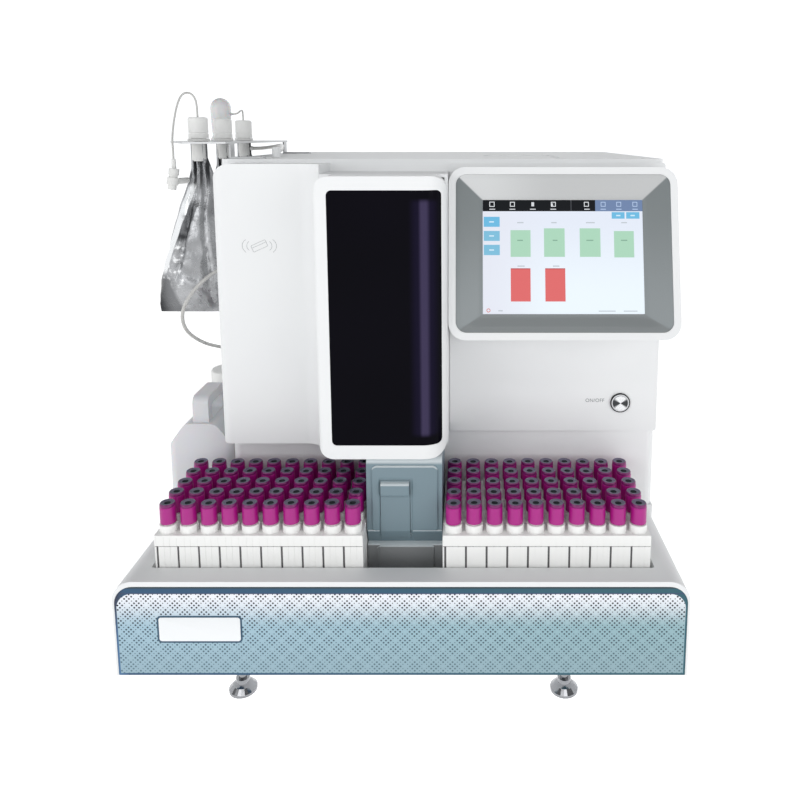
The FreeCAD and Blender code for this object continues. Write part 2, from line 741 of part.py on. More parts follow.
def left_cover():
    """The left front cover: rounded at the outer corner and swept forward into the tower."""
    inner_x = DOOR_LEFT - 0.3
    plan_corners = [(HOUSING_LEFT - 1, HOUSING_FRONT, 0), (HOUSING_LEFT - 1, COVER_FRONT, COVER_EDGE),
                    (inner_x, COVER_FRONT, COVER_SWEEP), (inner_x, DOOR_BACK + 1, 0),
                    (inner_x + 0.1, HOUSING_FRONT, 0)]
    height = COVER_TOP - COVER_BOTTOM
    body = slab(plan_corners, plan(COVER_BOTTOM), V(0, 0, height))
    mask = slab([(HOUSING_LEFT - 1, COVER_BOTTOM, 3.0), (inner_x + 5, COVER_BOTTOM, 0),
                 (inner_x + 5, COVER_TOP, 0), (HOUSING_LEFT - 1, COVER_TOP, COVER_LEFT_CORNER)],
                front(DOOR_FRONT), V(0, HOUSING_FRONT - DOOR_FRONT, 0))
    body = body.common(mask)
    hollow = [(HOUSING_LEFT + 2, HOUSING_FRONT, 0), (HOUSING_LEFT + 2, COVER_FRONT + 3, COVER_EDGE - 3),
              (inner_x - COVER_SWEEP, COVER_FRONT + 3, 0), (inner_x - COVER_SWEEP, HOUSING_FRONT, 0)]
    return body.cut(slab(hollow, plan(COVER_BOTTOM + 4), V(0, 0, height - COVER_LEFT_CORNER - 4)))


def tower_frame():
    """The frame behind the door: an open-fronted chamber with two hinge lugs and their pins."""
    body = tower_section()
    hollow = box(CHAMBER_LEFT, DOOR_RIGHT - TOWER_WALL, DOOR_BACK - 1, TOWER_BACK - TOWER_WALL,
                 DOOR_BOTTOM + TOWER_WALL, DOOR_TOP - TOWER_WALL)
    body = body.cut(hollow)
    slot = box(NEEDLE_X - NEEDLE_PORT, NEEDLE_X + NEEDLE_PORT, CARRIAGE_MID_Y - NEEDLE_PORT,
               CARRIAGE_MID_Y + PROBE_TRAVEL + NEEDLE_PORT, DOOR_BOTTOM - 1, DOOR_BOTTOM + TOWER_WALL + 1)
    body = body.cut(slot)
    pieces = [body]
    for z in (HINGE_LOW, HINGE_HIGH):
        half = HINGE_LUG / 2
        lug = slab([(HINGE_X - half, DOOR_BACK + 6, 0), (HINGE_X - half, HINGE_Y - half, 3.0),
                    (HINGE_X + half, HINGE_Y - half, 3.0), (HINGE_X + half, DOOR_BACK + 6, 0)],
                   plan(z - HINGE_LUG), V(0, 0, HINGE_LUG - HINGE_GAP))
        pieces.append(lug)
        pieces.append(disc(HINGE_X, HINGE_Y, z - HINGE_LUG, HINGE_PIN_RADIUS, 2 * HINGE_LUG - 1))
    return fused(pieces)


def door_plan(inset, back):
    """The plan outline of the door, smaller by an inset all round; round where it turns."""
    return [(DOOR_LEFT + inset, back, HINGE_INSET - inset), (DOOR_RIGHT - inset, back, 0),
            (DOOR_RIGHT - inset, DOOR_FRONT + inset, DOOR_CURVE - inset),
            (DOOR_LEFT + inset, DOOR_FRONT + inset, 5.0 - min(inset, 4.0))]


def door_block(inset):
    """The door as a full block, smaller by an inset all round."""
    low = DOOR_BOTTOM + inset
    block = slab(door_plan(inset, DOOR_BACK + (1 if inset else 0)), plan(low),
                 V(0, 0, DOOR_TOP - inset - low))
    mask = slab(rect(DOOR_LEFT + inset, DOOR_RIGHT - inset, low, DOOR_TOP - inset,
                     DOOR_CORNER - inset), front(DOOR_FRONT - 1), V(0, DOOR_BACK - DOOR_FRONT + 3, 0))
    return block.common(mask)


def window_block(gap):
    """The opening for the dark window, through the front of the door."""
    return slab(rect(WINDOW_LEFT + gap, WINDOW_RIGHT - gap, WINDOW_BOTTOM + gap, WINDOW_TOP - gap,
                     WINDOW_CORNER), front(DOOR_FRONT - 5), V(0, DOOR_CURVE + 5, 0))


def door_frame():
    """The white door shell: curved right edge, window opening and two hinge blocks."""
    body = door_block(0.0).cut(door_block(DOOR_WALL)).cut(window_block(0.0))
    half = HINGE_LUG / 2
    for z in (HINGE_LOW, HINGE_HIGH):
        body = body.cut(box(DOOR_LEFT - 1, DOOR_LEFT + DOOR_WALL + 1, HINGE_Y - half - 3, DOOR_BACK + 2,
                            z - HINGE_LUG - 1, z))
        block = box(DOOR_LEFT + DOOR_WALL - 1, HINGE_X + half, DOOR_FRONT + DOOR_WALL - 1,
                    HINGE_Y + half, z, z + HINGE_LUG)
        block = block.cut(disc(HINGE_X, HINGE_Y, z - 1, HINGE_PIN_RADIUS + HINGE_GAP, HINGE_LUG + 2))
        body = body.fuse(block)
    return body.removeSplitter()


def door_window():
    """The curved dark window, let into the door shell."""
    pane = door_block(WINDOW_SUNK).cut(door_block(DOOR_WALL - 0.5))
    return pane.common(window_block(0.05))


def monitor_housing():
    """The white monitor case: rounded tilted front, cut off flat where it meets the panel."""
    body = slab(rect(MONITOR_LEFT, MONITOR_RIGHT, 0, MONITOR_FACE, MONITOR_CORNER), face(0),
                BACK_OF_FACE * MONITOR_DEPTH)
    far = box(MONITOR_LEFT - 1, MONITOR_RIGHT + 1, PANEL_FRONT, PANEL_FRONT + 2 * MONITOR_DEPTH,
              MONITOR_FOOT_Z - MONITOR_DEPTH, MONITOR_FOOT_Z + MONITOR_FACE + 1)
    body = body.cut(far)
    return body.cut(slab(bezel_outline(0.0), face(-1), BACK_OF_FACE * (BEZEL_DEEP + 1)))


def bezel_outline(gap):
    """The outer edge of the grey bezel on the monitor face."""
    return rect(MONITOR_LEFT + BEZEL_EDGE + gap, MONITOR_RIGHT - BEZEL_EDGE - gap,
                BEZEL_EDGE + gap, MONITOR_FACE - BEZEL_EDGE - gap, BEZEL_CORNER)


def screen_outline(grow):
    """The opening for the touch screen."""
    return rect(SCREEN_LEFT - grow, SCREEN_RIGHT + grow, SCREEN_LOW - grow, SCREEN_HIGH + grow)


def screen_bezel():
    """The dished bezel: its faces slope in from a narrow rim to the screen."""
    body = slab(bezel_outline(0.1), face(0.6), BACK_OF_FACE * (BEZEL_DEEP - 0.6))
    wide = rect(MONITOR_LEFT + BEZEL_EDGE + BEZEL_RIM, MONITOR_RIGHT - BEZEL_EDGE - BEZEL_RIM,
                BEZEL_EDGE + BEZEL_RIM, MONITOR_FACE - BEZEL_EDGE - BEZEL_RIM)
    rim_wire = outline(wide, face(0.6))
    low_wire = outline(screen_outline(2.0), face(BEZEL_DISH))
    dish = Part.makeLoft([rim_wire, low_wire], True, True)
    hole = slab(screen_outline(0.0), face(-1), BACK_OF_FACE * (BEZEL_DEEP + 2))
    return body.cut(dish).cut(hole)


def touch_screen():
    """The touch screen, flush with the bottom of the bezel's dish."""
    return slab(screen_outline(-0.1), face(BEZEL_DISH + 0.2), BACK_OF_FACE * SCREEN_THICK)


def button_bezel():
    """The metal ring and barrel of the power button, pushed through the panel."""
    flange = disc(BUTTON_X, PANEL_FRONT - BUTTON_FLANGE, BUTTON_Z, BUTTON_BEZEL_RADIUS,
                  BUTTON_FLANGE, V(0, 1, 0))
    barrel = disc(BUTTON_X, PANEL_FRONT - 0.5, BUTTON_Z, BUTTON_BARREL_RADIUS, BUTTON_BARREL,
                  V(0, 1, 0))
    bore = disc(BUTTON_X, PANEL_FRONT - 10, BUTTON_Z, BUTTON_RADIUS + BUTTON_GAP,
                BUTTON_BARREL + 20, V(0, 1, 0))
    return fused([flange, barrel]).cut(bore)


def button_cap():
    """The round push-button, slightly proud of its ring."""
    return disc(BUTTON_X, PANEL_FRONT - BUTTON_FLANGE - BUTTON_PROUD, BUTTON_Z, BUTTON_RADIUS,
                BUTTON_LENGTH, V(0, 1, 0))


def top_lid():
    """The lid over the service bay: a plate with a shallow dish and two stub pins at its back."""
    body = slab(rect(LID_LEFT, LID_RIGHT, LID_FRONT, LID_BACK, 0.8), plan(HOUSING_TOP - LID_THICK),
                V(0, 0, LID_THICK))
    dish = slab(rect(DISH_LEFT, DISH_RIGHT, DISH_FRONT, DISH_BACK, 4.0),
                plan(HOUSING_TOP - DISH_DEPTH), V(0, 0, DISH_DEPTH + 1))
    reach = LID_RIGHT - LID_LEFT + 2 * LID_GAP + 2 * LID_PIN_LENGTH - 1
    left = (LID_LEFT + LID_RIGHT - reach) / 2
    left_pin = disc(left, LID_AXIS_Y, LID_AXIS_Z, LID_PIN_RADIUS, LID_LEFT - left + 2, V(1, 0, 0))
    right_pin = disc(left + reach, LID_AXIS_Y, LID_AXIS_Z, LID_PIN_RADIUS, LID_LEFT - left + 2,
                     V(-1, 0, 0))
    return fused([body.cut(dish), left_pin, right_pin])


def rear_panel():
    """The sheet-metal back: a slotted grille in front of the fan and a hole for the inlet."""
    panel = slab(rect(back_left(), back_right(), back_low(), back_high(), 4.0),
                 front(HOUSING_BACK), V(0, BACK_PANEL_THICK, 0))
    cuts = []
    pitch = 2 * FAN_BORE / FAN_SLOTS
    for i in range(FAN_SLOTS):
        z = FAN_Z - FAN_BORE + (i + 0.5) * pitch
        half = math.sqrt(FAN_BORE ** 2 - (z - FAN_Z) ** 2) - 1
        cuts.append(box(FAN_X - half, FAN_X + half, HOUSING_BACK - 1,
                        HOUSING_BACK + BACK_PANEL_THICK + 1, z - pitch * 0.3, z + pitch * 0.3))
    cuts.append(box(INLET_X - INLET_WIDTH / 2, INLET_X + INLET_WIDTH / 2, HOUSING_BACK - 1,
                    HOUSING_BACK + BACK_PANEL_THICK + 1, INLET_Z - INLET_HEIGHT / 2,
                    INLET_Z + INLET_HEIGHT / 2))
    return panel.cut(Part.makeCompound(cuts))


def fan_frame():
    """The square fan frame with its motor disc on three struts, screwed to the back panel."""
    half = FAN_SIZE / 2
    near = HOUSING_BACK - FAN_DEPTH
    body = slab(rect(FAN_X - half, FAN_X + half, FAN_Z - half, FAN_Z + half, 4.0), front(near),
                V(0, FAN_DEPTH, 0))
    body = body.cut(disc(FAN_X, near - 1, FAN_Z, FAN_BORE, FAN_DEPTH + 2, V(0, 1, 0)))
    pieces = [body, disc(FAN_X, near, FAN_Z, FAN_HUB, 3.0, V(0, 1, 0))]
    for i in range(3):
        strut = box(FAN_X - 2, FAN_X + 2, near, near + 3, FAN_Z, FAN_Z + FAN_BORE + 1)
        strut.rotate(V(FAN_X, near, FAN_Z), V(0, 1, 0), 120 * i)
        pieces.append(strut)
    pieces.append(disc(FAN_X, near + 2, FAN_Z, 2.0, FAN_DEPTH - 6, V(0, 1, 0)))
    return fused(pieces)


def fan_rotor():
    """The fan rotor: a hub on the shaft with pitched blades."""
    near = HOUSING_BACK - FAN_DEPTH + 3.3
    deep = FAN_DEPTH - 6.0
    pieces = [disc(FAN_X, near, FAN_Z, FAN_HUB, deep, V(0, 1, 0))]
    for i in range(FAN_BLADES):
        half = deep / 2 / math.cos(math.radians(35)) - 1.5
        blade = box(FAN_X - FAN_BLADE_THICK / 2, FAN_X + FAN_BLADE_THICK / 2, near + deep / 2 - half,
                    near + deep / 2 + half, FAN_Z + FAN_HUB - 1, FAN_Z + FAN_BORE - 2)
        blade.rotate(V(FAN_X, near + deep / 2, FAN_Z), V(0, 0, 1), 35)
        blade.rotate(V(FAN_X, near, FAN_Z), V(0, 1, 0), 360.0 * i / FAN_BLADES)
        pieces.append(blade)
    rotor = fused(pieces)
    return rotor.cut(disc(FAN_X, near - 1, FAN_Z, 2.0 + HINGE_GAP, FAN_DEPTH - 5, V(0, 1, 0)))


def power_inlet():
    """The mains inlet: a flange on the back panel, a recess and three flat pins."""
    gap = 0.1
    half_w = INLET_WIDTH / 2 - gap
    half_h = INLET_HEIGHT / 2 - gap
    outer = HOUSING_BACK + BACK_PANEL_THICK
    floor = outer - INLET_DEPTH + INLET_WALL
    body = box(INLET_X - half_w, INLET_X + half_w, outer - INLET_DEPTH, outer + INLET_FLANGE_THICK,
               INLET_Z - half_h, INLET_Z + half_h)
    flange = slab(rect(INLET_X - half_w - INLET_FLANGE, INLET_X + half_w + INLET_FLANGE,
                       INLET_Z - half_h - INLET_FLANGE, INLET_Z + half_h + INLET_FLANGE, 2.0),
                  front(outer), V(0, INLET_FLANGE_THICK, 0))
    hollow = box(INLET_X - half_w + INLET_WALL, INLET_X + half_w - INLET_WALL, floor, outer + 3,
                 INLET_Z - half_h + INLET_WALL, INLET_Z + half_h - INLET_WALL)
    pieces = [body.fuse(flange).cut(hollow)]
    for dx, dz in INLET_PINS:
        pieces.append(box(INLET_X + dx - 1, INLET_X + dx + 1, floor - 1, outer - 6,
                          INLET_Z + dz - 2, INLET_Z + dz + 2))
    return fused(pieces)


def pouch_shelf():
    """The stainless reagent shelf: slots for three spouts, two bent legs and their feet."""
    corners = [(SHELF_RIGHT, SHELF_FRONT, 0), (POUCH_X, SHELF_FRONT + 12, 0),
               (SHELF_LEFT, 20.0, 6.0), (SHELF_LEFT, SHELF_BACK, 6.0), (SHELF_RIGHT, SHELF_BACK, 0)]
    plate = slab(corners, plan(SHELF_Z), V(0, 0, SHELF_THICK))
    cuts = []
    for y in POUCH_YS:
        cuts.append(disc(POUCH_X, y, SHELF_Z - 1, SPOUT_RADIUS + 0.3, SHELF_THICK + 2))
        cuts.append(box(SHELF_LEFT - 1, POUCH_X, y - SPOUT_RADIUS - 0.3, y + SPOUT_RADIUS + 0.3,
                        SHELF_Z - 1, SHELF_TOP + 1))
    plate = plate.cut(fused(cuts[:2])).cut(fused(cuts[2:4])).cut(fused(cuts[4:6]))
    pieces = [plate]
    for y in (LEG_FRONT_Y, LEG_BACK_Y):
        profile = [(SHELF_RIGHT - 2, HOUSING_TOP, 0), (SHELF_RIGHT + LEG_FOOT, HOUSING_TOP, 0),
                   (SHELF_RIGHT + LEG_FOOT, HOUSING_TOP + 2, 0), (SHELF_RIGHT, HOUSING_TOP + 2, 0),
                   (SHELF_RIGHT, SHELF_TOP, 0), (SHELF_RIGHT - 2, SHELF_TOP, 0)]
        pieces.append(slab(profile, front(y), V(0, LEG_WIDTH, 0)))
    return fused(pieces)


def pouch_ring(up, wide, deep, across):
    """One eight-sided ring of a filled pouch, from shares of its height, width, depth and lean."""
    z = POUCH_BOTTOM + up * POUCH_HEIGHT
    x = POUCH_CENTRE_X + across * (POUCH_X - POUCH_CENTRE_X)
    a = wide * POUCH_WIDTH / 2
    b = max(deep * POUCH_DEPTH, POUCH_SEAM) / 2
    c = min(0.45 * b, 0.3 * a)
    return [V(x - a, -b + c, z), V(x - a + c * 2, -b, z), V(x + a - c * 2, -b, z), V(x + a, -b + c, z),
            V(x + a, b - c, z), V(x + a - c * 2, b, z), V(x - a + c * 2, b, z), V(x - a, b - c, z)]


def pouch(y):
    """A filled foil pouch: flat seam below, full foot, a long taper upwards, and a moulded spout."""
    rings = [(0, 0.95, 0, 0), (0.06, 1, 0.5, 0), (0.2, 0.98, 1, 0.05), (0.42, 0.82, 0.97, 0.5),
             (0.64, 0.62, 0.74, 0.8), (0.82, 0.44, 0.46, 1), (1, 0.24, 0.33, 1)]
    bag = skinned([pouch_ring(*ring) for ring in rings])
    bag.translate(V(0, y, 0))
    foot = POUCH_BOTTOM + POUCH_HEIGHT - SPOUT_SUNK
    spout = disc(POUCH_X, y, foot, SPOUT_RADIUS, SHELF_TOP + SCREW_CAP_HEIGHT - foot)
    collar = disc(POUCH_X, y, SHELF_TOP + 0.2, SPOUT_COLLAR, 3.0)
    return fused([bag, spout, collar])


def back_pouch():
    """The back pouch has a barb for the supply tube on its spout, under the shelf."""
    barb = disc(POUCH_X, POUCH_YS[2], BARB_Z, HOSE_BARB_RADIUS, SPOUT_RADIUS + HOSE_BARB_LENGTH,
                V(1, 0, 0), SLIM_SIDES)
    return fused([pouch(POUCH_YS[2]), barb])


def screw_cap(y):
    """A pouch's screw cap: a cup over the spout with a chamfered rim."""
    foot = SHELF_TOP + SCREW_CAP_LIFT
    rim = CAP_CENTRE_TOP - CAP_CHAMFER
    cap = turned([(SCREW_CAP_RADIUS, foot), (SCREW_CAP_RADIUS, rim),
                  (SCREW_CAP_RADIUS - CAP_CHAMFER, CAP_CENTRE_TOP)], POUCH_X, y)
    roof = SHELF_TOP + SCREW_CAP_HEIGHT + SCREW_CAP_GAP
    return cap.cut(disc(POUCH_X, y, foot - 1, SPOUT_RADIUS + SCREW_CAP_GAP, roof - foot + 1))


def bubble_trap():
    """The translucent bubble trap: a domed cylinder with a flared foot and a side nipple."""
    foot = SHELF_TOP
    flare = TRAP_RADIUS
    body = TRAP_RADIUS - 0.6
    shoulder = foot + TRAP_HEIGHT - body
    profile = [(flare, foot), (flare, foot + TRAP_FLARE / 2), (body - TRAP_WAIST, foot + TRAP_FLARE),
               (body, shoulder)]
    for step in range(1, DOME_STEPS):
        angle = math.pi / 2 * step / DOME_STEPS
        profile.append((body * math.cos(angle), shoulder + body * math.sin(angle)))
    profile.append((NIPPLE_RADIUS, foot + TRAP_HEIGHT))
    nipple = disc(TRAP_X + body / 2, TRAP_Y, foot + TRAP_PORT_UP, NIPPLE_RADIUS,
                  TRAP_RADIUS + NIPPLE_PROUD - body / 2, V(1, 0, 0), SLIM_SIDES)
    return fused([turned(profile, TRAP_X, TRAP_Y), nipple])


def drain_fitting():
    """The angled side fitting on the front pouch: white body, threaded ring and tube nipple."""
    tip = V(DRAIN_X, DRAIN_Y, DRAIN_TIP)
    lean = V(-3, -1.5, -22).normalize()

    def along(start, radius, length, heading, sides=SLIM_SIDES):
        return disc(start.x, start.y, start.z, radius, length, heading, sides)

    body = along(tip, DRAIN_RADIUS, DRAIN_LENGTH, lean)
    ring = along(tip + lean * (DRAIN_LENGTH * 0.4), DRAIN_RING_RADIUS, DRAIN_RING_LENGTH, lean,
                 ROUND_SIDES)
    nipple = along(tip - V(0, 0, 1), 2.4, DRAIN_NIPPLE + 1, V(0, 0, 1))
    elbow = along(tip - lean, DRAIN_ELBOW_RADIUS, 7, lean)
    inlet = along(tip + lean * (DRAIN_LENGTH * 0.6), DRAIN_INLET_RADIUS, DRAIN_INLET_LENGTH,
                  V(0.35, 1, 0))
    return fused([body, ring, nipple, elbow, inlet])


def canister():
    """The blow-moulded waste canister: sloped shoulders, a neck, and a looped handle in front."""
    profile = [(CAN_LEFT, 0, 5.0), (CAN_RIGHT, 0, 5.0), (CAN_RIGHT, CAN_SHOULDER, 12.0),
               (CAN_RIGHT - CAN_SLOPE, CAN_TOP, 12.0), (CAN_LEFT + CAN_SLOPE, CAN_TOP, 12.0),
               (CAN_LEFT, CAN_SHOULDER, 12.0)]
    body = slab(profile, front(CAN_FRONT), V(0, CAN_BACK - CAN_FRONT, 0))
    mask = slab(rect(CAN_LEFT, CAN_RIGHT, CAN_FRONT, CAN_BACK, CAN_EDGE), plan(-1), V(0, 0, CAN_TOP + 2))
    body = body.common(mask)
    left = CAN_NECK_X - HANDLE_WIDTH / 2
    near = CAN_FRONT + HANDLE_SETBACK
    far = near + HANDLE_LENGTH
    top = CAN_TOP + HANDLE_RISE
    post = HANDLE_THICK
    handle = slab([(near, CAN_TOP - 8, 0), (far, CAN_TOP - 8, 0), (far - 4, top, 9.0), (near, top, 9.0)],
                  side(left), V(HANDLE_WIDTH, 0, 0))
    hole = slab([(near + post, CAN_TOP + 0.5, 4.0), (far - post, CAN_TOP + 0.5, 4.0),
                 (far - post - 2, top - post, 6.0), (near + post, top - post, 6.0)],
                side(left - 1), V(HANDLE_WIDTH + 2, 0, 0))
    neck = disc(CAN_NECK_X, CAN_NECK_Y, CAN_TOP - 5, CAN_NECK_RADIUS, CAN_NECK_HEIGHT + 5)
    return fused([body, handle.cut(hole), neck])


def canister_cap():
    """The canister's screw cap."""
    foot = CAN_TOP + 0.4
    rim = CAN_CAP_TOP - 2 * CAP_CHAMFER
    cap = turned([(CAN_CAP_RADIUS, foot), (CAN_CAP_RADIUS, rim),
                  (CAN_CAP_RADIUS - 2 * CAP_CHAMFER, CAN_CAP_TOP)], CAN_NECK_X, CAN_NECK_Y)
    roof = CAN_TOP + CAN_NECK_HEIGHT + SCREW_CAP_GAP
    return cap.cut(disc(CAN_NECK_X, CAN_NECK_Y, foot - 1, CAN_NECK_RADIUS + SCREW_CAP_GAP,
                        roof - foot + 1))


def free_tube(name, points, diameter):
    """A free tube: straight runs joined at each point by the largest arc that its runs allow."""
    route = [V(*point) for point in points]
    edges = []
    start = route[0]
    radii = []
    for i in range(1, len(route) - 1):
        back = route[i - 1] - route[i]
        ahead = route[i + 1] - route[i]
        reach = 0.45 * min(back.Length, ahead.Length)
        turn = math.pi - back.getAngle(ahead)
        radius = reach / math.tan(turn / 2)
        radii.append(round(radius, 1))
        back.normalize()
        ahead.normalize()
        first = route[i] + back * reach
        last = route[i] + ahead * reach
        inward = (back + ahead).normalize()
        middle = route[i] + inward * (radius / math.cos(turn / 2) - radius)
        edges.append(Part.LineSegment(start, first).toShape())
        edges.append(Part.Arc(first, middle, last).toShape())
        start = last
    edges.append(Part.LineSegment(start, route[-1]).toShape())
    path = Part.Wire(edges)
    ring = regular(route[0], diameter / 2, (route[1] - route[0]).normalize(), TUBE_SIDES)
    tube = path.makePipeShell([ring], True, False)
    share = tube.Volume / (Part.Face(ring).Area * path.Length)
    print("%s: length %.1f, volume share %.4f, least radius %.1f" % (name, path.Length, share, min(radii)))
    return tube


LOOP_ROUTE = [(POUCH_X, POUCH_YS[0], CAP_CENTRE_TOP), (POUCH_X, POUCH_YS[0], 566.0),
              (-240.4, -52.0, 577.0), (-244.4, -54.5, 583.4), (-250.9, -57.5, 583.8),
              (-255.4, -61.0, 577.4), (-258.2, -65.2, 564.4), (-259.6, -71.0, 548.0),
              (-259.2, -77.4, 532.0), (DRAIN_X, DRAIN_Y, 520.0),
              (DRAIN_X, DRAIN_Y, DRAIN_TIP + DRAIN_NIPPLE)]
TRAP_ROUTE = [(TRAP_X + TRAP_RADIUS + NIPPLE_PROUD, TRAP_Y, SHELF_TOP + TRAP_PORT_UP),
              (-254.0, TRAP_Y, SHELF_TOP + TRAP_PORT_UP), (-248.5, 137.5, 570.0),
              (-243.0, 130.5, 571.0), (POUCH_X, POUCH_YS[2], 565.5),
              (POUCH_X, POUCH_YS[2], CAP_CENTRE_TOP)]
SUPPLY_ROUTE = [(POUCH_X + SPOUT_RADIUS + HOSE_BARB_LENGTH, POUCH_YS[2], BARB_Z),
                (-218.0, POUCH_YS[2], BARB_Z), (-203.0, 113.5, 521.0), (-187.5, 93.0, 523.0),
                (-175.5, 66.0, 524.5), (-167.0, 35.0, 524.0), (-160.8, 7.0, 522.0),
                (SUPPLY_X, -11.0, HOUSING_TOP + SUPPLY_UP),
                (SUPPLY_X, SUPPLY_Y + SUPPLY_REACH, HOUSING_TOP + SUPPLY_UP)]
WASTE_ROUTE = [(HOUSING_LEFT, -88.0, 391.0), (-211.5, -88.0, 391.0), (-226.0, -95.0, 380.0),
               (-239.0, -97.5, 366.5), (-248.5, -97.0, 351.5), (-253.5, -92.5, 335.5),
               (-253.5, -81.0, 318.5), (-249.5, -61.0, 303.5), (-245.5, -38.0, 291.0),
               (-242.0, -14.0, 281.5), (-240.6, 8.0, 273.0), (CAN_NECK_X, CAN_NECK_Y, 258.5),
               (CAN_NECK_X, CAN_NECK_Y, CAN_CAP_TOP)]


def probe_rail():
    """The linear rail on the chamber's left wall."""
    return box(CHAMBER_LEFT, CHAMBER_LEFT + RAIL_WIDTH, DOOR_BACK + RAIL_SETBACK,
               TOWER_BACK - TOWER_WALL, RAIL_Z - RAIL_HEIGHT / 2, RAIL_Z + RAIL_HEIGHT / 2)


def probe_carriage():
    """The carriage that runs on the rail: a block with a channel, and an upright guide."""
    left = CHAMBER_LEFT + CARRIAGE_OFF_WALL
    right = left + CARRIAGE_WIDTH
    far = CARRIAGE_Y + CARRIAGE_LENGTH
    half = CARRIAGE_HEIGHT / 2
    half_rail = RAIL_HEIGHT / 2 + RUN_GAP
    body = box(left, right, CARRIAGE_Y, far, RAIL_Z - half, RAIL_Z + half)
    channel = box(left - 1, CHAMBER_LEFT + RAIL_WIDTH + RUN_GAP, CARRIAGE_Y - 1, far + 1,
                  RAIL_Z - half_rail, RAIL_Z + half_rail)
    guide = box(right - GUIDE_WIDTH, right, CARRIAGE_MID_Y - GUIDE_DEPTH / 2,
                CARRIAGE_MID_Y + GUIDE_DEPTH / 2, RAIL_Z - half - GUIDE_DROP, RAIL_Z - half)
    return fused([body, guide]).cut(channel)


def probe_head():
    """The needle head: slider on the guide, arm, holder and the steel needle."""
    face_x = CHAMBER_LEFT + CARRIAGE_OFF_WALL + CARRIAGE_WIDTH + RUN_GAP
    slider = box(face_x, face_x + SLIDER_THICK, CARRIAGE_MID_Y - SLIDER_DEPTH / 2,
                 CARRIAGE_MID_Y + SLIDER_DEPTH / 2, ARM_Z - SLIDER_DROP, ARM_Z + ARM_HEIGHT)
    arm = slab(rect(face_x + SLIDER_THICK / 4, NEEDLE_X + ARM_END, CARRIAGE_MID_Y - ARM_DEPTH / 2,
                    CARRIAGE_MID_Y + ARM_DEPTH / 2, 3.0), plan(ARM_Z), V(0, 0, ARM_HEIGHT))
    foot = ARM_Z - HOLDER_DROP
    holder = disc(NEEDLE_X, CARRIAGE_MID_Y, foot, HOLDER_RADIUS, HOLDER_DROP + 1, sides=SLIM_SIDES)
    needle = disc(NEEDLE_X, CARRIAGE_MID_Y, NEEDLE_TIP, NEEDLE_RADIUS, foot + 1 - NEEDLE_TIP,
                  sides=SLIM_SIDES)
    return fused([slider, arm, holder, needle])


def column_oven():
    """The heated block for the separation column, with the column in its front."""
    right = DOOR_RIGHT - TOWER_WALL
    back = TOWER_BACK - TOWER_WALL
    low = DOOR_BOTTOM + OVEN_LIFT
    body = slab(rect(right - OVEN_WIDTH, right, back - OVEN_DEPTH, back, 3.0), plan(low),
                V(0, 0, OVEN_HEIGHT))
    column = disc(right - OVEN_WIDTH / 2, back - OVEN_DEPTH, low + COLUMN_UP, COLUMN_RADIUS,
                  COLUMN_LENGTH, sides=SLIM_SIDES)
    feet = box(right - OVEN_FOOT_WIDTH, right, back - OVEN_FOOT_DEPTH, back,
               DOOR_BOTTOM + TOWER_WALL, low + 1)
    return fused([body, column, feet])


def injection_valve():
    """The rotary injection valve: motor block, stator disc and hexagonal port nuts."""
    left = CHAMBER_LEFT
    back = TOWER_BACK - TOWER_WALL
    low = DOOR_BOTTOM + TOWER_WALL
    near = back - VALVE_DEPTH
    axis_x = left + VALVE_WIDTH / 2
    axis_z = low + VALVE_AXIS_UP
    body = box(left, left + VALVE_WIDTH, near, back, low, low + VALVE_HEIGHT)
    stator = disc(axis_x, near - STATOR_LENGTH, axis_z, STATOR_RADIUS, STATOR_LENGTH + 1, V(0, 1, 0))
    pieces = [body, stator]
    for i in range(VALVE_PORTS):
        angle = 2 * math.pi * (i + 0.5) / VALVE_PORTS
        pieces.append(disc(axis_x + PORT_CIRCLE * math.cos(angle), near - STATOR_LENGTH - PORT_NUT_LENGTH,
                           axis_z + PORT_CIRCLE * math.sin(angle), PORT_NUT_RADIUS,
                           PORT_NUT_LENGTH + 1, V(0, 1, 0), HEX))
    return fused(pieces)


def delivery_pump():
    """The eluent pump: drive block and two pump heads."""
    near = HOUSING_FRONT + WORKS_SETBACK
    body = box(PUMP_X - PUMP_WIDTH / 2, PUMP_X + PUMP_WIDTH / 2, near, near + PUMP_DEPTH, DECK_TOP,
               DECK_TOP + PUMP_HEIGHT)
    pieces = [body]
    for x in (PUMP_X - PUMP_HEAD_SPACING / 2, PUMP_X + PUMP_HEAD_SPACING / 2):
        pieces.append(disc(x, near - PUMP_HEAD_LENGTH, DECK_TOP + PUMP_HEAD_UP, PUMP_HEAD_RADIUS,
                           PUMP_HEAD_LENGTH + 1, V(0, 1, 0)))
    return fused(pieces)


def detector():
    """The optical detector block with its lamp housing."""
    left = HOUSING_LEFT + WORKS_MARGIN
    near = HOUSING_FRONT + WORKS_SETBACK
    top = DECK_TOP + DETECTOR_HEIGHT
    body = box(left, left + DETECTOR_WIDTH, near, near + DETECTOR_DEPTH, DECK_TOP, top)
    lamp = disc(left + DETECTOR_WIDTH / 2, near + DETECTOR_DEPTH / 2, top - 1, LAMP_RADIUS,
                LAMP_HEIGHT + 1)
    return fused([body, lamp])


def power_supply():
    """The boxed power supply with its cooling ribs."""
    left = HOUSING_LEFT + WORKS_MARGIN
    back = HOUSING_BACK - SUPPLY_BACK
    near = back - BOX_DEPTH
    top = DECK_TOP + BOX_HEIGHT
    pieces = [box(left, left + BOX_WIDTH, near, back, DECK_TOP, top)]
    for i in range(RIB_COUNT):
        x = left + RIB_PITCH / 3 + RIB_PITCH * i
        pieces.append(box(x, x + RIB_THICK, near + RIB_RISE, back - RIB_RISE, top - 1, top + RIB_RISE))
    return fused(pieces)


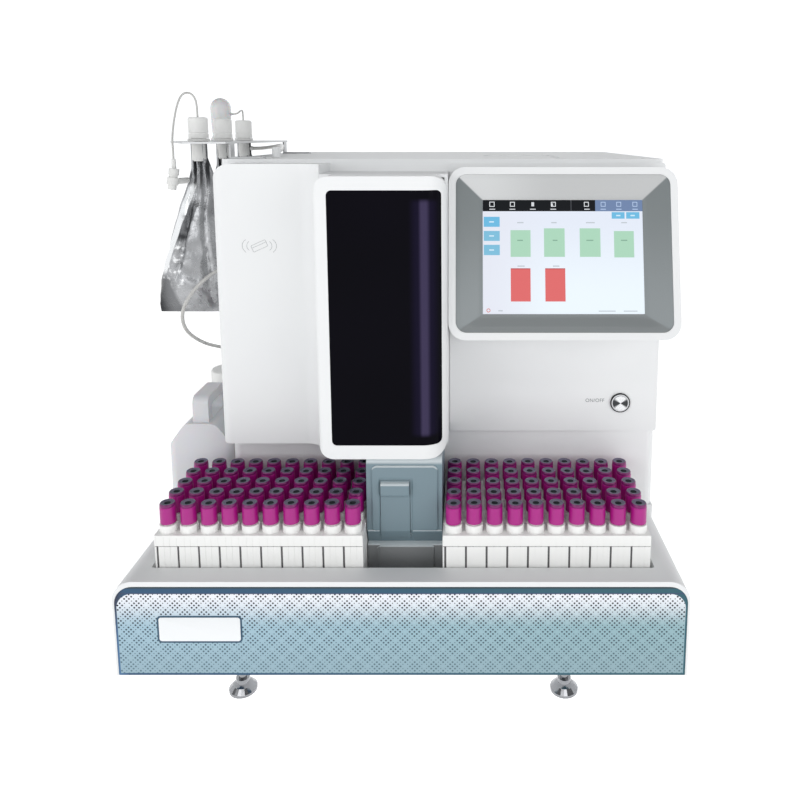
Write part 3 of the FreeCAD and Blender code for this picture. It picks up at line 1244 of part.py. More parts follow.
def control_board():
    """The control board on four hexagonal posts, with its larger components."""
    low = DECK_TOP + POST_HEIGHT
    top = low + BOARD_THICK
    pieces = [box(BOARD_LEFT, BOARD_LEFT + BOARD_WIDTH, BOARD_FRONT, BOARD_FRONT + BOARD_DEPTH, low, top)]
    for x in (BOARD_LEFT + POST_INSET, BOARD_LEFT + BOARD_WIDTH - POST_INSET):
        for y in (BOARD_FRONT + POST_INSET, BOARD_FRONT + BOARD_DEPTH - POST_INSET):
            pieces.append(disc(x, y, DECK_TOP, POST_RADIUS, POST_HEIGHT + BOARD_THICK / 2, sides=HEX))
    for dx, dy, width, depth, height in CHIPS:
        pieces.append(box(BOARD_LEFT + dx, BOARD_LEFT + dx + width, BOARD_FRONT + dy,
                          BOARD_FRONT + dy + depth, top - BOARD_THICK / 2, top + height))
    return fused(pieces)


parts["base_housing"] = base_housing()
parts["front_fascia"] = front_fascia()
for number, place in enumerate(foot_places()):
    word = ("front_left", "front_right", "back_left", "back_right")[number]
    parts["foot_" + word] = levelling_foot(*place)
for rack_name, rack_x, rack_y in rack_places():
    parts[rack_name] = tube_rack(rack_x, rack_y)
parts["sample_tubes"] = sample_tubes()
parts["tube_caps"] = tube_caps()
parts["feeder_housing"] = feeder_housing()
parts["stat_flap"] = stat_flap()
parts["main_housing"] = main_housing()
parts["right_front_panel"] = right_front_panel()
parts["left_cover"] = left_cover()
parts["tower_frame"] = tower_frame()
parts["door_frame"] = door_frame()
parts["door_window"] = door_window()
parts["monitor_housing"] = monitor_housing()
parts["screen_bezel"] = screen_bezel()
parts["touch_screen"] = touch_screen()
parts["button_bezel"] = button_bezel()
parts["button_cap"] = button_cap()
parts["top_lid"] = top_lid()
parts["rear_panel"] = rear_panel()
parts["fan_frame"] = fan_frame()
parts["fan_rotor"] = fan_rotor()
parts["power_inlet"] = power_inlet()
parts["pouch_shelf"] = pouch_shelf()
for word, pouch_y in zip(("front", "middle", "back"), POUCH_YS):
    parts["pouch_" + word] = back_pouch() if word == "back" else pouch(pouch_y)
    parts["screw_cap_" + word] = screw_cap(pouch_y)
parts["bubble_trap"] = bubble_trap()
parts["drain_fitting"] = drain_fitting().cut(parts["pouch_front"])
parts["waste_canister"] = canister()
parts["canister_cap"] = canister_cap()
parts["loop_tube"] = free_tube("loop_tube", LOOP_ROUTE, THIN_TUBE)
parts["trap_tube"] = free_tube("trap_tube", TRAP_ROUTE, THIN_TUBE)
parts["supply_tube"] = free_tube("supply_tube", SUPPLY_ROUTE, SUPPLY_TUBE)
parts["waste_tube"] = free_tube("waste_tube", WASTE_ROUTE, WASTE_TUBE)
parts["probe_rail"] = probe_rail()
parts["probe_carriage"] = probe_carriage()
parts["probe_head"] = probe_head()
parts["column_oven"] = column_oven()
parts["injection_valve"] = injection_valve()
parts["delivery_pump"] = delivery_pump()
parts["detector"] = detector()
parts["power_supply"] = power_supply()
parts["control_board"] = control_board()

# The origin: the middle of the footprint of everything but the free tubes, on the bench
FREE_TUBES = ("loop_tube", "trap_tube", "supply_tube", "waste_tube")
whole = Part.makeCompound([shape for name, shape in parts.items() if name not in FREE_TUBES])
bounds = whole.BoundBox
ORIGIN = V(bounds.Center.x, bounds.Center.y, 0)

os.makedirs("parts", exist_ok=True)
triangles = 0
for name, shape in parts.items():
    shape.translate(-ORIGIN)
    shape.exportStep("parts/%s.step" % name)
    count = len(shape.tessellate(0.1)[1])
    triangles += count
    good = "valid" if shape.isValid() else "NOT VALID"
    print("%-18s solids %3d  triangles %5d  %s" % (name, len(shape.Solids), count, good))
print("origin", ORIGIN, "size", bounds.XLength, bounds.YLength, bounds.ZLength)
print("nodes", len(parts), "triangles", triangles)
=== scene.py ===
import math
import random

import bmesh
import bpy
from mathutils import Matrix, Vector, noise


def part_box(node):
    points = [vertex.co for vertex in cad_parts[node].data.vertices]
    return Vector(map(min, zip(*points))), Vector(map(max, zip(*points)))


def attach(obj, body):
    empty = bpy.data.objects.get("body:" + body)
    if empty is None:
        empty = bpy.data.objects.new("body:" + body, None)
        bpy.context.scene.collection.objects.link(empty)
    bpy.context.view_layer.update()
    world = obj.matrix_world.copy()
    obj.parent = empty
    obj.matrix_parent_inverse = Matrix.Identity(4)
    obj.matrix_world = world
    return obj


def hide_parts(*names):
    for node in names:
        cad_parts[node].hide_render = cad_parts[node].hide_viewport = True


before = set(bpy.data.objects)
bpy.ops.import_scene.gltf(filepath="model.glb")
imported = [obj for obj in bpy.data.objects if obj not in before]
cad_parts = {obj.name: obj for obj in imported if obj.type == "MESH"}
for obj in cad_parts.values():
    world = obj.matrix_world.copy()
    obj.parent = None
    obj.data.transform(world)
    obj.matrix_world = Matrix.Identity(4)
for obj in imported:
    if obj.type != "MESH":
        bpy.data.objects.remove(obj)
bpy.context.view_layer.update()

# The room: a white floor under a white sky that dims overhead, soft boxes at both sides, a strip
# above the front for the highlights along moulded edges, and the camera in front of the operator's
# side, looking a little down.
PITCH = 8.0
EYE = (0.0721, -0.8874, 0.5362)
LENS = 33.12
SHIFT = (-0.0806, -0.2008)

camera = bpy.data.objects.new("camera", bpy.data.cameras.new("camera"))
camera.data.sensor_width = 36.0
camera.data.lens = LENS
camera.data.shift_x, camera.data.shift_y = SHIFT
camera.location = EYE
camera.rotation_euler = (math.radians(90 - PITCH), 0, 0)
bpy.context.scene.collection.objects.link(camera)
bpy.context.scene.camera = camera
bpy.context.scene.view_settings.view_transform = "Standard"

# The lights: name, place, target, width, height and power.
LIGHTS = [("strip", (0.0, -2.2, 2.3), (0, 0, 0.2), 2.4, 0.35, 7),
          ("front_left", (-1.9, -2.2, 1.2), (0, 0, 0.25), 1.4, 1.8, 11),
          ("front_right", (2.0, -2.1, 1.1), (0, 0, 0.25), 1.2, 1.8, 8),
          ("behind", (0.4, 2.2, 1.6), (0, 0, 0.3), 2.0, 1.2, 5)]
for name, place, target, width, height, power in LIGHTS:
    lamp = bpy.data.objects.new(name, bpy.data.lights.new(name, "AREA"))
    lamp.data.shape = "RECTANGLE"
    lamp.data.size = width
    lamp.data.size_y = height
    lamp.data.energy = power
    lamp.location = place
    lamp.rotation_euler = (Vector(target) - Vector(place)).to_track_quat("-Z", "Y").to_euler()
    bpy.context.scene.collection.objects.link(lamp)


class Field:
    """A value over a surface. It is written in sums, and each sum adds its Math nodes."""

    def __init__(self, tree, socket):
        self.tree = tree
        self.socket = socket

    def node(self, kind, settings=None, values=None, output=0):
        """Any other node: its type, its settings, then the values or links of its sockets."""
        made = self.tree.nodes.new("ShaderNode" + kind)
        for name, setting in (settings or {}).items():
            setattr(made, name, setting)
        for name, value in (values or {}).items():
            if isinstance(value, Field):
                self.tree.links.new(value.socket, made.inputs[name])
            else:
                made.inputs[name].default_value = value
        return Field(self.tree, made.outputs[output] if made.outputs else None)

    def maths(self, operation, first, second=0.0):
        return self.node("Math", {"operation": operation}, {0: first, 1: second})

    def __add__(self, other):
        return self.maths("ADD", self, other)

    def __sub__(self, other):
        return self.maths("SUBTRACT", self, other)

    def __rsub__(self, other):
        return self.maths("SUBTRACT", other, self)

    def __mul__(self, other):
        return self.maths("MULTIPLY", self, other)

    def __truediv__(self, other):
        return self.maths("DIVIDE", self, other)

    def __mod__(self, other):
        return self.maths("FLOORED_MODULO", self, other)

    def __pow__(self, other):
        return self.maths("POWER", self, other)

    def __lt__(self, other):
        return self.maths("LESS_THAN", self, other)

    def __and__(self, other):
        return self.maths("MINIMUM", self, other)

    def __or__(self, other):
        return self.maths("MAXIMUM", self, other)

    def __abs__(self):
        return self.maths("ABSOLUTE", self)

    __radd__ = __add__
    __rmul__ = __mul__

    def sine(self):
        return self.maths("SINE", self)

    def axes(self):
        """The x, y and z of a place."""
        parts = self.node("SeparateXYZ", {}, {0: self})
        return [Field(self.tree, output) for output in parts.socket.node.outputs]

    def between(self, low, high):
        """The colour that this mask picks: low at 0 and high at 1."""
        return self.node("Mix", {"data_type": "RGBA"}, {0: self, 6: low, 7: high}, 2)

    def ramp(self, low, high):
        """0 where the field is under low, 1 where it is over high, and smooth between."""
        values = {"Value": self, "From Min": low, "From Max": high}
        return self.node("MapRange", {"interpolation_type": "SMOOTHSTEP"}, values)

    def speckle(self, scale, detail=2.0):
        """Soft grain at a scale in grains a metre, where this field is the place."""
        return self.node("TexNoise", {}, {"Vector": self, "Scale": scale, "Detail": detail})


def surface(name):
    """A new material, and the place on it in metres."""
    made = bpy.data.materials.new(name)
    made.use_nodes = True
    made.node_tree.nodes.clear()
    return made, Field(made.node_tree, None).node("TexCoord", output="Object")


def coat(place, sockets, height=None, depth=0.0001):
    """Closes a material: the shader's sockets, and a height field in depths for its bump."""
    if height is not None:
        bump = {"Strength": 1.0, "Distance": depth, "Height": height}
        sockets = {**sockets, "Normal": place.node("Bump", {}, bump)}
    shader = place.node("BsdfPrincipled", {}, sockets)
    place.node("OutputMaterial", {}, {"Surface": shader})


def rgb(red, green, blue):
    """A colour from its screen values of 0 to 255."""
    linear = [(x / 255 / 12.92) if x < 10.3 else ((x / 255 + 0.055) / 1.055) ** 2.4
              for x in (red, green, blue)]
    return (*linear, 1.0)


def moulded(name, low, high, rough, grain=900.0, **fixed):
    """Moulded plastic or paint: two near tones, satin roughness and a fine grain."""
    made, place = surface(name)
    cloud = place.speckle(14.0, 3.0)
    sockets = {"Base Color": cloud.between(low, high), "Roughness": cloud * 0.08 + rough}
    coat(place, {**sockets, **fixed}, place.speckle(grain), 0.00002)
    return made


sky = bpy.data.worlds.new("sky")
sky.use_nodes = True
sky.node_tree.nodes.clear()
view = Field(sky.node_tree, None).node("TexCoord")
lift = view.axes()[2]
glow = 1.16 - lift.ramp(0.24, 0.58) * 0.9
light = lift.node("Background", {}, {"Color": (0.97, 0.985, 1.0, 1), "Strength": glow})
light.node("OutputWorld", {}, {"Surface": light})
bpy.context.scene.world = sky

floor_mesh = bpy.data.meshes.new("floor")
floor_mesh.from_pydata([(-9, -9, 0), (9, -9, 0), (9, 9, 0), (-9, 9, 0)], [], [(0, 1, 2, 3)])
floor = bpy.data.objects.new("floor", floor_mesh)
bpy.context.scene.collection.objects.link(floor)
paper = {"Emission Color": rgb(255, 255, 255), "Emission Strength": 0.86, "Specular IOR Level": 0.1}
floor.data.materials.append(moulded("floor_paper", rgb(188, 189, 190), rgb(192, 193, 194), 0.8, 300.0,
                                    **paper))

# The base: one white moulding with a wide front tray, on four turned levelling feet. Its satin
# white is used for all the case mouldings, and the moulded edges are rounded.
case_white = moulded("case_white", rgb(229, 230, 231), rgb(234, 235, 235), 0.42)


def keep(node, finish, edge=0.0, steps=3):
    """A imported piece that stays, in its own finish and, where it is moulded, with round edges."""
    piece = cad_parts[node]
    piece.data.materials.clear()
    piece.data.materials.append(finish)
    if edge:
        weld = piece.modifiers.new("weld", "WELD")
        weld.merge_threshold = 0.00002
        soften(piece, edge, steps)
    return piece


def soften(piece, edge, steps=3):
    """Rounds a piece's sharp edges and shades it smoothly."""
    bevel = piece.modifiers.new("edges", "BEVEL")
    bevel.width = edge
    bevel.segments = steps
    bevel.limit_method = "ANGLE"
    bevel.angle_limit = math.radians(35)
    bevel.harden_normals = False
    for face in piece.data.polygons:
        face.use_smooth = True
    shade = piece.modifiers.new("shade", "WEIGHTED_NORMAL")
    shade.keep_sharp = True


keep("base_housing", case_white, 0.0012)

chrome, place = surface("bright_chrome")
coat(place, {"Base Color": rgb(152, 153, 156), "Metallic": 1.0,
             "Roughness": place.speckle(300.0) * 0.08 + 0.08})
for corner in ("front_left", "front_right", "back_left", "back_right"):
    keep("foot_" + corner, chrome)

# The front fascia: a sheet with printed dots in a basket weave, which fade from navy on white to
# pale on teal, inside a dark teal border. A plain white plate sits at its left. Every fourth row of
# dots is finer, both ways, so the others stand in groups of nine.
DOT_SPACING = 0.0045
DOT_RADIUS = 0.285
FINE = 0.12
SIDE_BORDER = 0.0018
TOP_BORDER = 0.0072
CORNER = 0.0146
PLATE = (-0.2183, -0.1378, 0.0606, 0.0884)

low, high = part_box("front_fascia")
print_finish, place = surface("fascia_print")
x, _, z = place.axes()
out = abs(x - (low.x + high.x) / 2) - ((high.x - low.x) / 2 - SIDE_BORDER - CORNER)
up = z - (high.z - TOP_BORDER - CORNER)
edge = ((out | 0.0) ** 2.0 + (up | 0.0) ** 2.0) ** 0.5 - CORNER
inside = (1.0 - edge.ramp(-0.0002, 0.0002)) & z.ramp(low.z + 0.0018, low.z + 0.0026)
across = (x + z) / DOT_SPACING
along = (x - z) / DOT_SPACING
reach = (((across % 1.0) - 0.5) ** 2.0 + ((along % 1.0) - 0.5) ** 2.0) ** 0.5
gap_a = (across % 4.0).ramp(2.99, 3.01)
gap_b = (along % 4.0).ramp(2.99, 3.01)
size = DOT_RADIUS - (gap_a | gap_b) * FINE - (gap_a & gap_b) * 0.2
dot = 1.0 - (reach - size).ramp(-0.03, 0.04)
down = (high.z - TOP_BORDER - z) / (high.z - low.z - TOP_BORDER)
side = x.ramp(low.x, high.x)
ground = side.between(rgb(158, 188, 203), rgb(142, 175, 183))
ground = down.ramp(0.0, 0.42).between(rgb(234, 236, 242), ground)
ground = down.ramp(0.4, 1.0).between(ground, side.between(rgb(145, 173, 186), rgb(138, 166, 175)))
ink = down.ramp(0.1, 0.6).between(rgb(10, 12, 36), side.between(rgb(50, 80, 98), rgb(44, 76, 88)))
ink = down.ramp(0.5, 1.0).between(ink, side.between(rgb(84, 114, 128), rgb(78, 108, 118)))
face = dot.between(ground, ink)
rail = side.between(rgb(14, 70, 106), rgb(22, 84, 98))
rail = abs(z - (high.z - 0.0008)).ramp(0.0006, 0.0012).between(rgb(28, 52, 60), rail)
rail = abs(z - (high.z - TOP_BORDER + 0.0005)).ramp(0.0004, 0.0008).between(rgb(36, 62, 98), rail)
left_rail = z.ramp(low.z + 0.03, high.z - 0.01).between(rgb(62, 106, 148), rgb(24, 34, 62))
trim = x.ramp(low.x, low.x + 0.012).between(left_rail, rail)
coat(place, {"Base Color": inside.between(trim, face), "Roughness": 0.36, "Coat Weight": 0.15,
             "Coat Roughness": 0.15})
keep("front_fascia", print_finish)


def rounded(corners, inset=0.0, steps=6):
    """Points of a closed outline through (u, v, radius) corners, moved inwards by an inset."""
    count = len(corners)
    area = sum(a[0] * b[1] - b[0] * a[1] for a, b in zip(corners, corners[1:] + corners[:1]))
    way = 1 if area > 0 else -1
    points = []
    for i, (u, v, radius) in enumerate(corners):
        here = Vector((u, v))
        back = (Vector(corners[i - 1][:2]) - here).normalized()
        ahead = (Vector(corners[(i + 1) % count][:2]) - here).normalized()
        sign = 1 if way * (ahead.x * back.y - ahead.y * back.x) > 0 else -1
        inward = (back + ahead).normalized()
        half = back.angle(ahead) / 2
        tip = here + inward * (sign * inset / math.sin(half))
        if not radius:
            points.append(tip)
            continue
        bend = max(radius - sign * inset, 0.00002)
        centre = tip + inward * (bend / math.sin(half))
        arm = tip + back * (bend / math.tan(half)) - centre
        sweep = (math.pi - 2 * half) * sign * way
        points += [centre + Matrix.Rotation(sweep * k / steps, 2) @ arm for k in range(steps + 1)]
    return points


def oblong(x0, x1, y0, y1, radius=0.0):
    """The four corners of a rectangle, each with the same radius."""
    return [(x0, y0, radius), (x1, y0, radius), (x1, y1, radius), (x0, y1, radius)]


def piece_of(name, points, faces, finish, body, slot):
    """A new piece from points and faces, in its finish, on its body."""
    mesh = bpy.data.meshes.new(name)
    mesh.from_pydata([tuple(p) for p in points], [], faces)
    form = bmesh.new()
    form.from_mesh(mesh)
    bmesh.ops.remove_doubles(form, verts=form.verts, dist=0.000002)
    bmesh.ops.recalc_face_normals(form, faces=form.faces)
    form.to_mesh(mesh)
    form.free()
    made = bpy.data.objects.new(name, mesh)
    bpy.context.scene.collection.objects.link(made)
    for material in finish if isinstance(finish, list) else [finish]:
        mesh.materials.append(material)
    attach(made, body)
    return made


def skin(rings):
    """Points and faces of a skin over rings of as many points each, closed at its ends."""
    count = len(rings[0])
    faces = []
    for row in range(len(rings) - 1):
        for i in range(count):
            j = (i + 1) % count
            faces.append((row * count + i, row * count + j,
                          (row + 1) * count + j, (row + 1) * count + i))
    faces.append(tuple(range(count)))
    faces.append(tuple((len(rings) - 1) * count + i for i in range(count)))
    return [point for ring in rings for point in ring], faces


def join(solids):
    """Several points-and-faces pairs as one."""
    points = []
    faces = []
    for some, others in solids:
        faces += [tuple(i + len(points) for i in face) for face in others]
        points += some
    return points, faces


def plate(corners, put, thick, edge, steps=3):
    """A plate behind a rounded outline: its front edge is rounded, and put(u, v, w) places it."""
    rings = []
    for k in range(steps + 1):
        angle = math.pi / 2 * k / steps
        inset = edge * (1 - math.sin(angle))
        depth = edge * (1 - math.cos(angle))
        rings.append([put(p.x, p.y, depth) for p in rounded(corners, inset)])
    rings.append([put(p.x, p.y, thick) for p in rounded(corners)])
    return skin(rings)


def smooth(piece, angle=35.0):
    """Smooth shading, with the edges over an angle kept sharp."""
    for face in piece.data.polygons:
        face.use_smooth = True
    piece.data.set_sharp_from_angle(angle=math.radians(angle))
    return piece


ink_teal = moulded("ink_teal", rgb(30, 66, 92), rgb(38, 80, 104), 0.3)
badge_white = moulded("badge_white", rgb(232, 234, 236), rgb(238, 240, 241), 0.25)
sheet_front = low.y
for name, shrink, lift, finish in (("badge_border", 0.0, 0.00008, ink_teal),
                                   ("badge_plate", 0.0018, 0.00014, badge_white)):
    corners = oblong(PLATE[0] + shrink, PLATE[1] - shrink, PLATE[2] + shrink, PLATE[3] - shrink,
                     0.0042 - shrink)
    solid = plate(corners, lambda u, v, w: (u, sheet_front - lift + w, v), lift + 0.0003, 0.00004, 2)
    smooth(piece_of(name, *solid, finish, "machine", "fascia_print"))

# The tube racks: ten moulded strips, each with a pocket and a split collar for every tube. Under the
# lip the front is set back, and it has fine ribs and a deep slot beside every pocket. Dark grey blocks
# at the back of the slots and a dark grey strip under the lip are painted shade.
PITCH_X = 0.020
POCKET = 0.0068
COLLAR = 0.0086
COLLAR_TOP = 0.0078
COLLAR_SIDES = 28
COLLAR_SPLIT = 0.5
COLLAR_ROUND = 0.0005
LIP = 0.011
RIM = 0.0014
SLOT = 0.0020
SLOT_DEPTH = 0.0024
SETBACK = 0.0006

rack_white = moulded("rack_white", rgb(240, 240, 238), rgb(245, 245, 243), 0.36)


def upright(outline, z0, z1):
    """A prism over an outline of (x, y) points."""
    return skin([[(x, y, z0) for x, y in outline], [(x, y, z1) for x, y in outline]])


def block(x0, x1, y0, y1, z0, z1):
    """A box between two corners."""
    return upright([(x0, y0), (x1, y0), (x1, y1), (x0, y1)], z0, z1)


def rack_outline(lo, hi, slot_depth, back=0.0):
    """The plan of a rack, set back from its faces: ribs, and a slot at each pocket's left."""
    first = (lo.x + hi.x) / 2 - 5 * PITCH_X
    steps = [(0.001, slot_depth), (0.001 + SLOT, 0.0), (0.0085, 0.0003), (0.0092, 0.0),
             (0.0142, 0.0003), (0.0149, 0.0)]
    walk = [(lo.x, 0.0)]
    for i in range(10):
        for at, depth in steps:
            level = walk[-1][1]
            walk.append((first + i * PITCH_X + at, level))
            walk.append((first + i * PITCH_X + at, depth))
    walk.append((hi.x, walk[-1][1]))
    front = [(x, lo.y + back + depth) for x, depth in walk]
    return front + [(x, hi.y - back - depth) for x, depth in reversed(walk)]


def collar(x, y, z0, z1):
    """A short split tube round a pocket, open at its right, with a rounded-off rim."""
    points = []
    section = ((COLLAR, z0), (COLLAR, z1 - COLLAR_ROUND), (COLLAR - COLLAR_ROUND, z1), (POCKET, z1),
               (POCKET, z0))
    for i in range(COLLAR_SIDES):
        angle = COLLAR_SPLIT / 2 + (2 * math.pi - COLLAR_SPLIT) * i / (COLLAR_SIDES - 1)
        for radius, z in section:
            points.append((x + radius * math.cos(angle), y + radius * math.sin(angle), z))
    faces = []
    for i in range(COLLAR_SIDES - 1):
        j = i + 1
        faces += [(i * 5 + k, j * 5 + k, j * 5 + k + 1, i * 5 + k + 1) for k in range(4)]
    faces += [tuple(range(5)), tuple((COLLAR_SIDES - 1) * 5 + k for k in range(5))]
    return points, faces


racks = ["rack_%s_%d" % (side, row) for side in ("left", "right") for row in range(1, 6)]
tube_places = []
painted_shade_blocks = []
for rack in racks:
    lo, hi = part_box(rack)
    band = hi.z - LIP
    rim = [(p.x, p.y) for p in rounded(oblong(lo.x, hi.x, lo.y, hi.y, 0.001), 0.0, 3)]
    solids = [upright(rack_outline(lo, hi, SLOT_DEPTH, SETBACK), lo.z, band),
              upright(rack_outline(lo, hi, 0.0003), band, hi.z - RIM),
              upright(rim, hi.z - RIM, hi.z)]
    for i in range(10):
        x = (lo.x + hi.x) / 2 + (i - 4.5) * PITCH_X
        y = (lo.y + hi.y) / 2
        tube_places.append((x, y))
        solids.append(collar(x, y, hi.z - 0.0002, hi.z + COLLAR_TOP))
        left = x - PITCH_X / 2 + 0.00105
        # A dark grey block at the back of each slot: painted shade.
        painted_shade_blocks.append(block(left, left + SLOT - 0.0001, lo.y + 0.0018, lo.y + 0.0029,
                            lo.z + 0.001, band))
    made = piece_of(rack + "_moulding", *join(solids), rack_white, "machine", "rack_white")
    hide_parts(rack)
    # A dark grey strip in the gap under the lip: painted shade.
    painted_shade_blocks.append(block(lo.x + 0.0003, hi.x - 0.0003, lo.y + 0.0004, lo.y + 0.0016,
                        band - 0.0007, band))
painted_slot_shade = moulded("painted_slot_shade", rgb(92, 90, 92), rgb(104, 102, 104), 0.6)
piece_of("rack_painted_shade", *join(painted_shade_blocks), painted_slot_shade, "machine", "rack_white")

# The sample tubes: clear plastic over dark blood with a paper label, drawn here in the label's paper
# alone, and a ribbed magenta cap with a grey rubber stopper in its top. Each ring of a cap's faces has
# one of the four cap finishes.
CAP_SIDES = 48
CAP_RIB = 0.00022
# Finish 3, the cap's upper band from the groove to the rim, is a darker magenta: painted shade.
CAP_FINISHES = (0, 0, 0, 0, 0, 3, 3, 3, 1, 1, 1, 2)
TUBE_SIDES = 20

cap_magenta = moulded("cap_magenta", rgb(162, 12, 124), rgb(178, 24, 136), 0.3, 1500.0)
cap_painted_shade = moulded("cap_painted_shade", rgb(112, 14, 92), rgb(126, 20, 102), 0.3)
stopper_grey = moulded("stopper_grey", rgb(96, 92, 112), rgb(116, 110, 132), 0.5)
stopper_dark = moulded("stopper_dark", rgb(34, 40, 46), rgb(48, 54, 60), 0.5)
tube_paper = moulded("tube_paper", rgb(222, 220, 216), rgb(232, 230, 227), 0.55)


def lathe(x, y, profile, sides, rib=0.0):
    """A turned form about an upright line, from (radius, z, ribbed) points, with upright ribs."""
    rings = []
    for radius, z, ribbed in profile:
        ring = []
        for i in range(sides):
            angle = 2 * math.pi * i / sides
            r = radius - (rib * (i % 2) if ribbed else 0.0)
            ring.append((x + r * math.cos(angle), y + r * math.sin(angle), z))
        rings.append(ring)
    return skin(rings)


cap_low, cap_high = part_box("tube_caps")
tube_low, tube_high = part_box("sample_tubes")
rng = random.Random(7)
cap_solids = []
tube_solids = []
cap_slots = []
for x, y in tube_places:
    sink = rng.uniform(0.0, 0.0006)
    top = cap_high.z - sink
    foot = cap_low.z - sink
    profile = [(0.0062, foot, 0), (0.0075, foot, 0), (0.0077, foot + 0.0006, 0),
               (0.0077, foot + 0.002, 1), (0.0077, top - 0.0036, 1), (0.0072, top - 0.0032, 0),
               (0.0075, top - 0.0026, 0), (0.0074, top - 0.0009, 0), (0.0068, top, 0), (0.0060, top, 0),
               (0.0055, top - 0.0006, 0), (0.0032, top - 0.0007, 0), (0.0028, top - 0.0024, 0)]
    cap_solids.append(lathe(x, y, profile, CAP_SIDES, CAP_RIB))
    cap_slots += [slot for slot in CAP_FINISHES for side in range(CAP_SIDES)] + [0, 2]
    profile = [(0.002, tube_low.z, 0), (0.0055, tube_low.z + 0.002, 0), (0.0065, tube_low.z + 0.006, 0),
               (0.0065, tube_high.z, 0)]
    tube_solids.append(lathe(x, y, profile, TUBE_SIDES))
caps = piece_of("caps_with_stoppers", *join(cap_solids),
                [cap_magenta, stopper_grey, stopper_dark, cap_painted_shade], "machine", "cap_magenta")
for face, slot in zip(caps.data.polygons, cap_slots):
    face.material_index = slot
smooth(caps, 40.0)
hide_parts("tube_caps")
tubes = smooth(piece_of("labelled_tubes", *join(tube_solids), tube_paper, "machine", "tube_blood"))
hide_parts("sample_tubes")

# The feeder in the middle: a slate-grey moulding with a raised face, a fold and a step, and a flap
# with a grip bar over the port for a single tube. Below the step it is grey, darker towards the
# bottom as painted shade; faces that look up are painted lighter as a painted highlight, and dark
# plates in the flap's gaps are painted shade. NOTCH is the left, right and top of the flap's place
# in the face, in the machine's own millimetres.
NOTCH = (-24.2, 7.4, 201.2)
FOLD = 146.6

slate, place = surface("slate_plastic")
height = place.axes()[2]
tone = height.ramp(0.128, 0.131).between(rgb(136, 138, 139), rgb(116, 136, 145))
# Below the step the grey darkens towards the bottom: painted shade.
tone = height.ramp(0.086, 0.124).between(rgb(112, 113, 114), tone)
# Faces that look up, such as the rounded upper edges, are painted lighter: a painted highlight.
painted_highlight = place.node("TexCoord", output="Normal").axes()[2].ramp(0.15, 0.6)
tone = painted_highlight.between(tone, rgb(204, 212, 215))
coat(place, {"Base Color": tone, "Roughness": place.speckle(14.0, 3.0) * 0.08 + 0.34},
     place.speckle(900.0), 0.00002)
keep("feeder_housing", slate, 0.0013)
keep("stat_flap", slate, 0.0009)


def placed(x, y, z):
    """A place on the part from the machine's own millimetres."""
    return ((x + 12.5) / 1000, (y - 0.25) / 1000, z / 1000)


def upright_plate(y):
    """A placing for a plate on an upright face at depth y, in millimetres."""
    return lambda u, v, w: placed(u, y + w, v)


def sloped_plate(u, v, w):
    """A placing for a plate on the slope under the fold: v runs down it from the fold."""
    down = Vector((9.0, -16.0)).normalized()
    return placed(u, -200.4 + v * down.x + w * -down.y, 146.2 + v * down.y + w * down.x)


raised = [(-32.5, FOLD, 3.0), (NOTCH[0], FOLD, 0.4), (NOTCH[0], NOTCH[2], 1.2),
          (NOTCH[1], NOTCH[2], 1.2), (NOTCH[1], FOLD, 0.4), (33.5, FOLD, 3.0),
          (33.5, 214.6, 6.0), (-32.5, 214.6, 6.0)]
solids = [plate(raised, upright_plate(-202.0), 2.6, 1.8, 5),
          plate(oblong(-26.5, 29.5, 95.6, 128.6, 3.0), upright_plate(-197.8), 2.4, 1.8, 5)]
for left, right in ((-37.2, NOTCH[0] - 0.4), (NOTCH[1] + 0.2, 37.2)):
    solids.append(plate(oblong(left, right, 144.9, 147.1, 1.0), upright_plate(-201.6), 2.0, 1.0, 5))
    solids.append(plate(oblong(left, right, 1.6, 17.4, 0.6), sloped_plate, 1.2, 0.4, 3))
smooth(piece_of("feeder_panels", *join(solids), slate, "machine", "slate_grey"), 50.0)

flap_low, flap_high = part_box("stat_flap")
flap_right = flap_high.x * 1000 - 12.45
flap_top = flap_high.z * 1000 + 0.05
# Dark plates in the gaps at the flap's right and top: painted shade.
painted_gap_shade = moulded("painted_gap_shade", rgb(24, 28, 30), rgb(32, 36, 38), 0.5)
solids = [plate(oblong(flap_right, NOTCH[1], 148.0, NOTCH[2]), upright_plate(-200.7), 0.6, 0.05, 1),
          plate(oblong(NOTCH[0], NOTCH[1], flap_top, NOTCH[2]), upright_plate(-200.7), 0.6, 0.05, 1)]
piece_of("flap_gap_painted_shade", *join(solids), painted_gap_shade, "machine", "slate_grey")

# The case: main housing, right front panel, left cover swept into the tower, lid and tower frame.
# They are moulded in the base's satin white, with rounded edges, and fixed from inside.
keep("main_housing", case_white, 0.0015)
keep("right_front_panel", case_white, 0.0006)
keep("left_cover", case_white, 0.0016)
keep("tower_frame", case_white, 0.0006)
keep("top_lid", case_white, 0.0005)

# The card mark on the left cover shows where a card is held to be read: a tilted card between two
# pairs of arcs, printed on the moulding in fine grey lines.
CARD = Vector((-140.7, 423.2))
CARD_TURN = Matrix.Rotation(math.radians(24), 2)


def stroke(name, runs, y, thick, finish):
    """Fine printed lines through (x, z) points in millimetres on an upright face."""
    curve = bpy.data.curves.new(name, "CURVE")
    curve.dimensions = "3D"
    for run in runs:
        line = curve.splines.new("POLY")
        line.points.add(len(run) - 1)
        for point, (x, z) in zip(line.points, run):
            point.co = (x / 1000, y, z / 1000, 1.0)
    curve.bevel_depth = thick
    curve.bevel_resolution = 1
    curve.materials.append(finish)
    made = bpy.data.objects.new(name, curve)
    bpy.context.scene.collection.objects.link(made)
    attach(made, "machine")
    return made


def arc(x, z, radius, first, last, squash=1.0):
    """Points of an arc about (x, z) between two angles in degrees."""
    steps = [math.radians(first + (last - first) * k / 12) for k in range(13)]
    return [(x + squash * radius * math.cos(a), z + radius * math.sin(a)) for a in steps]


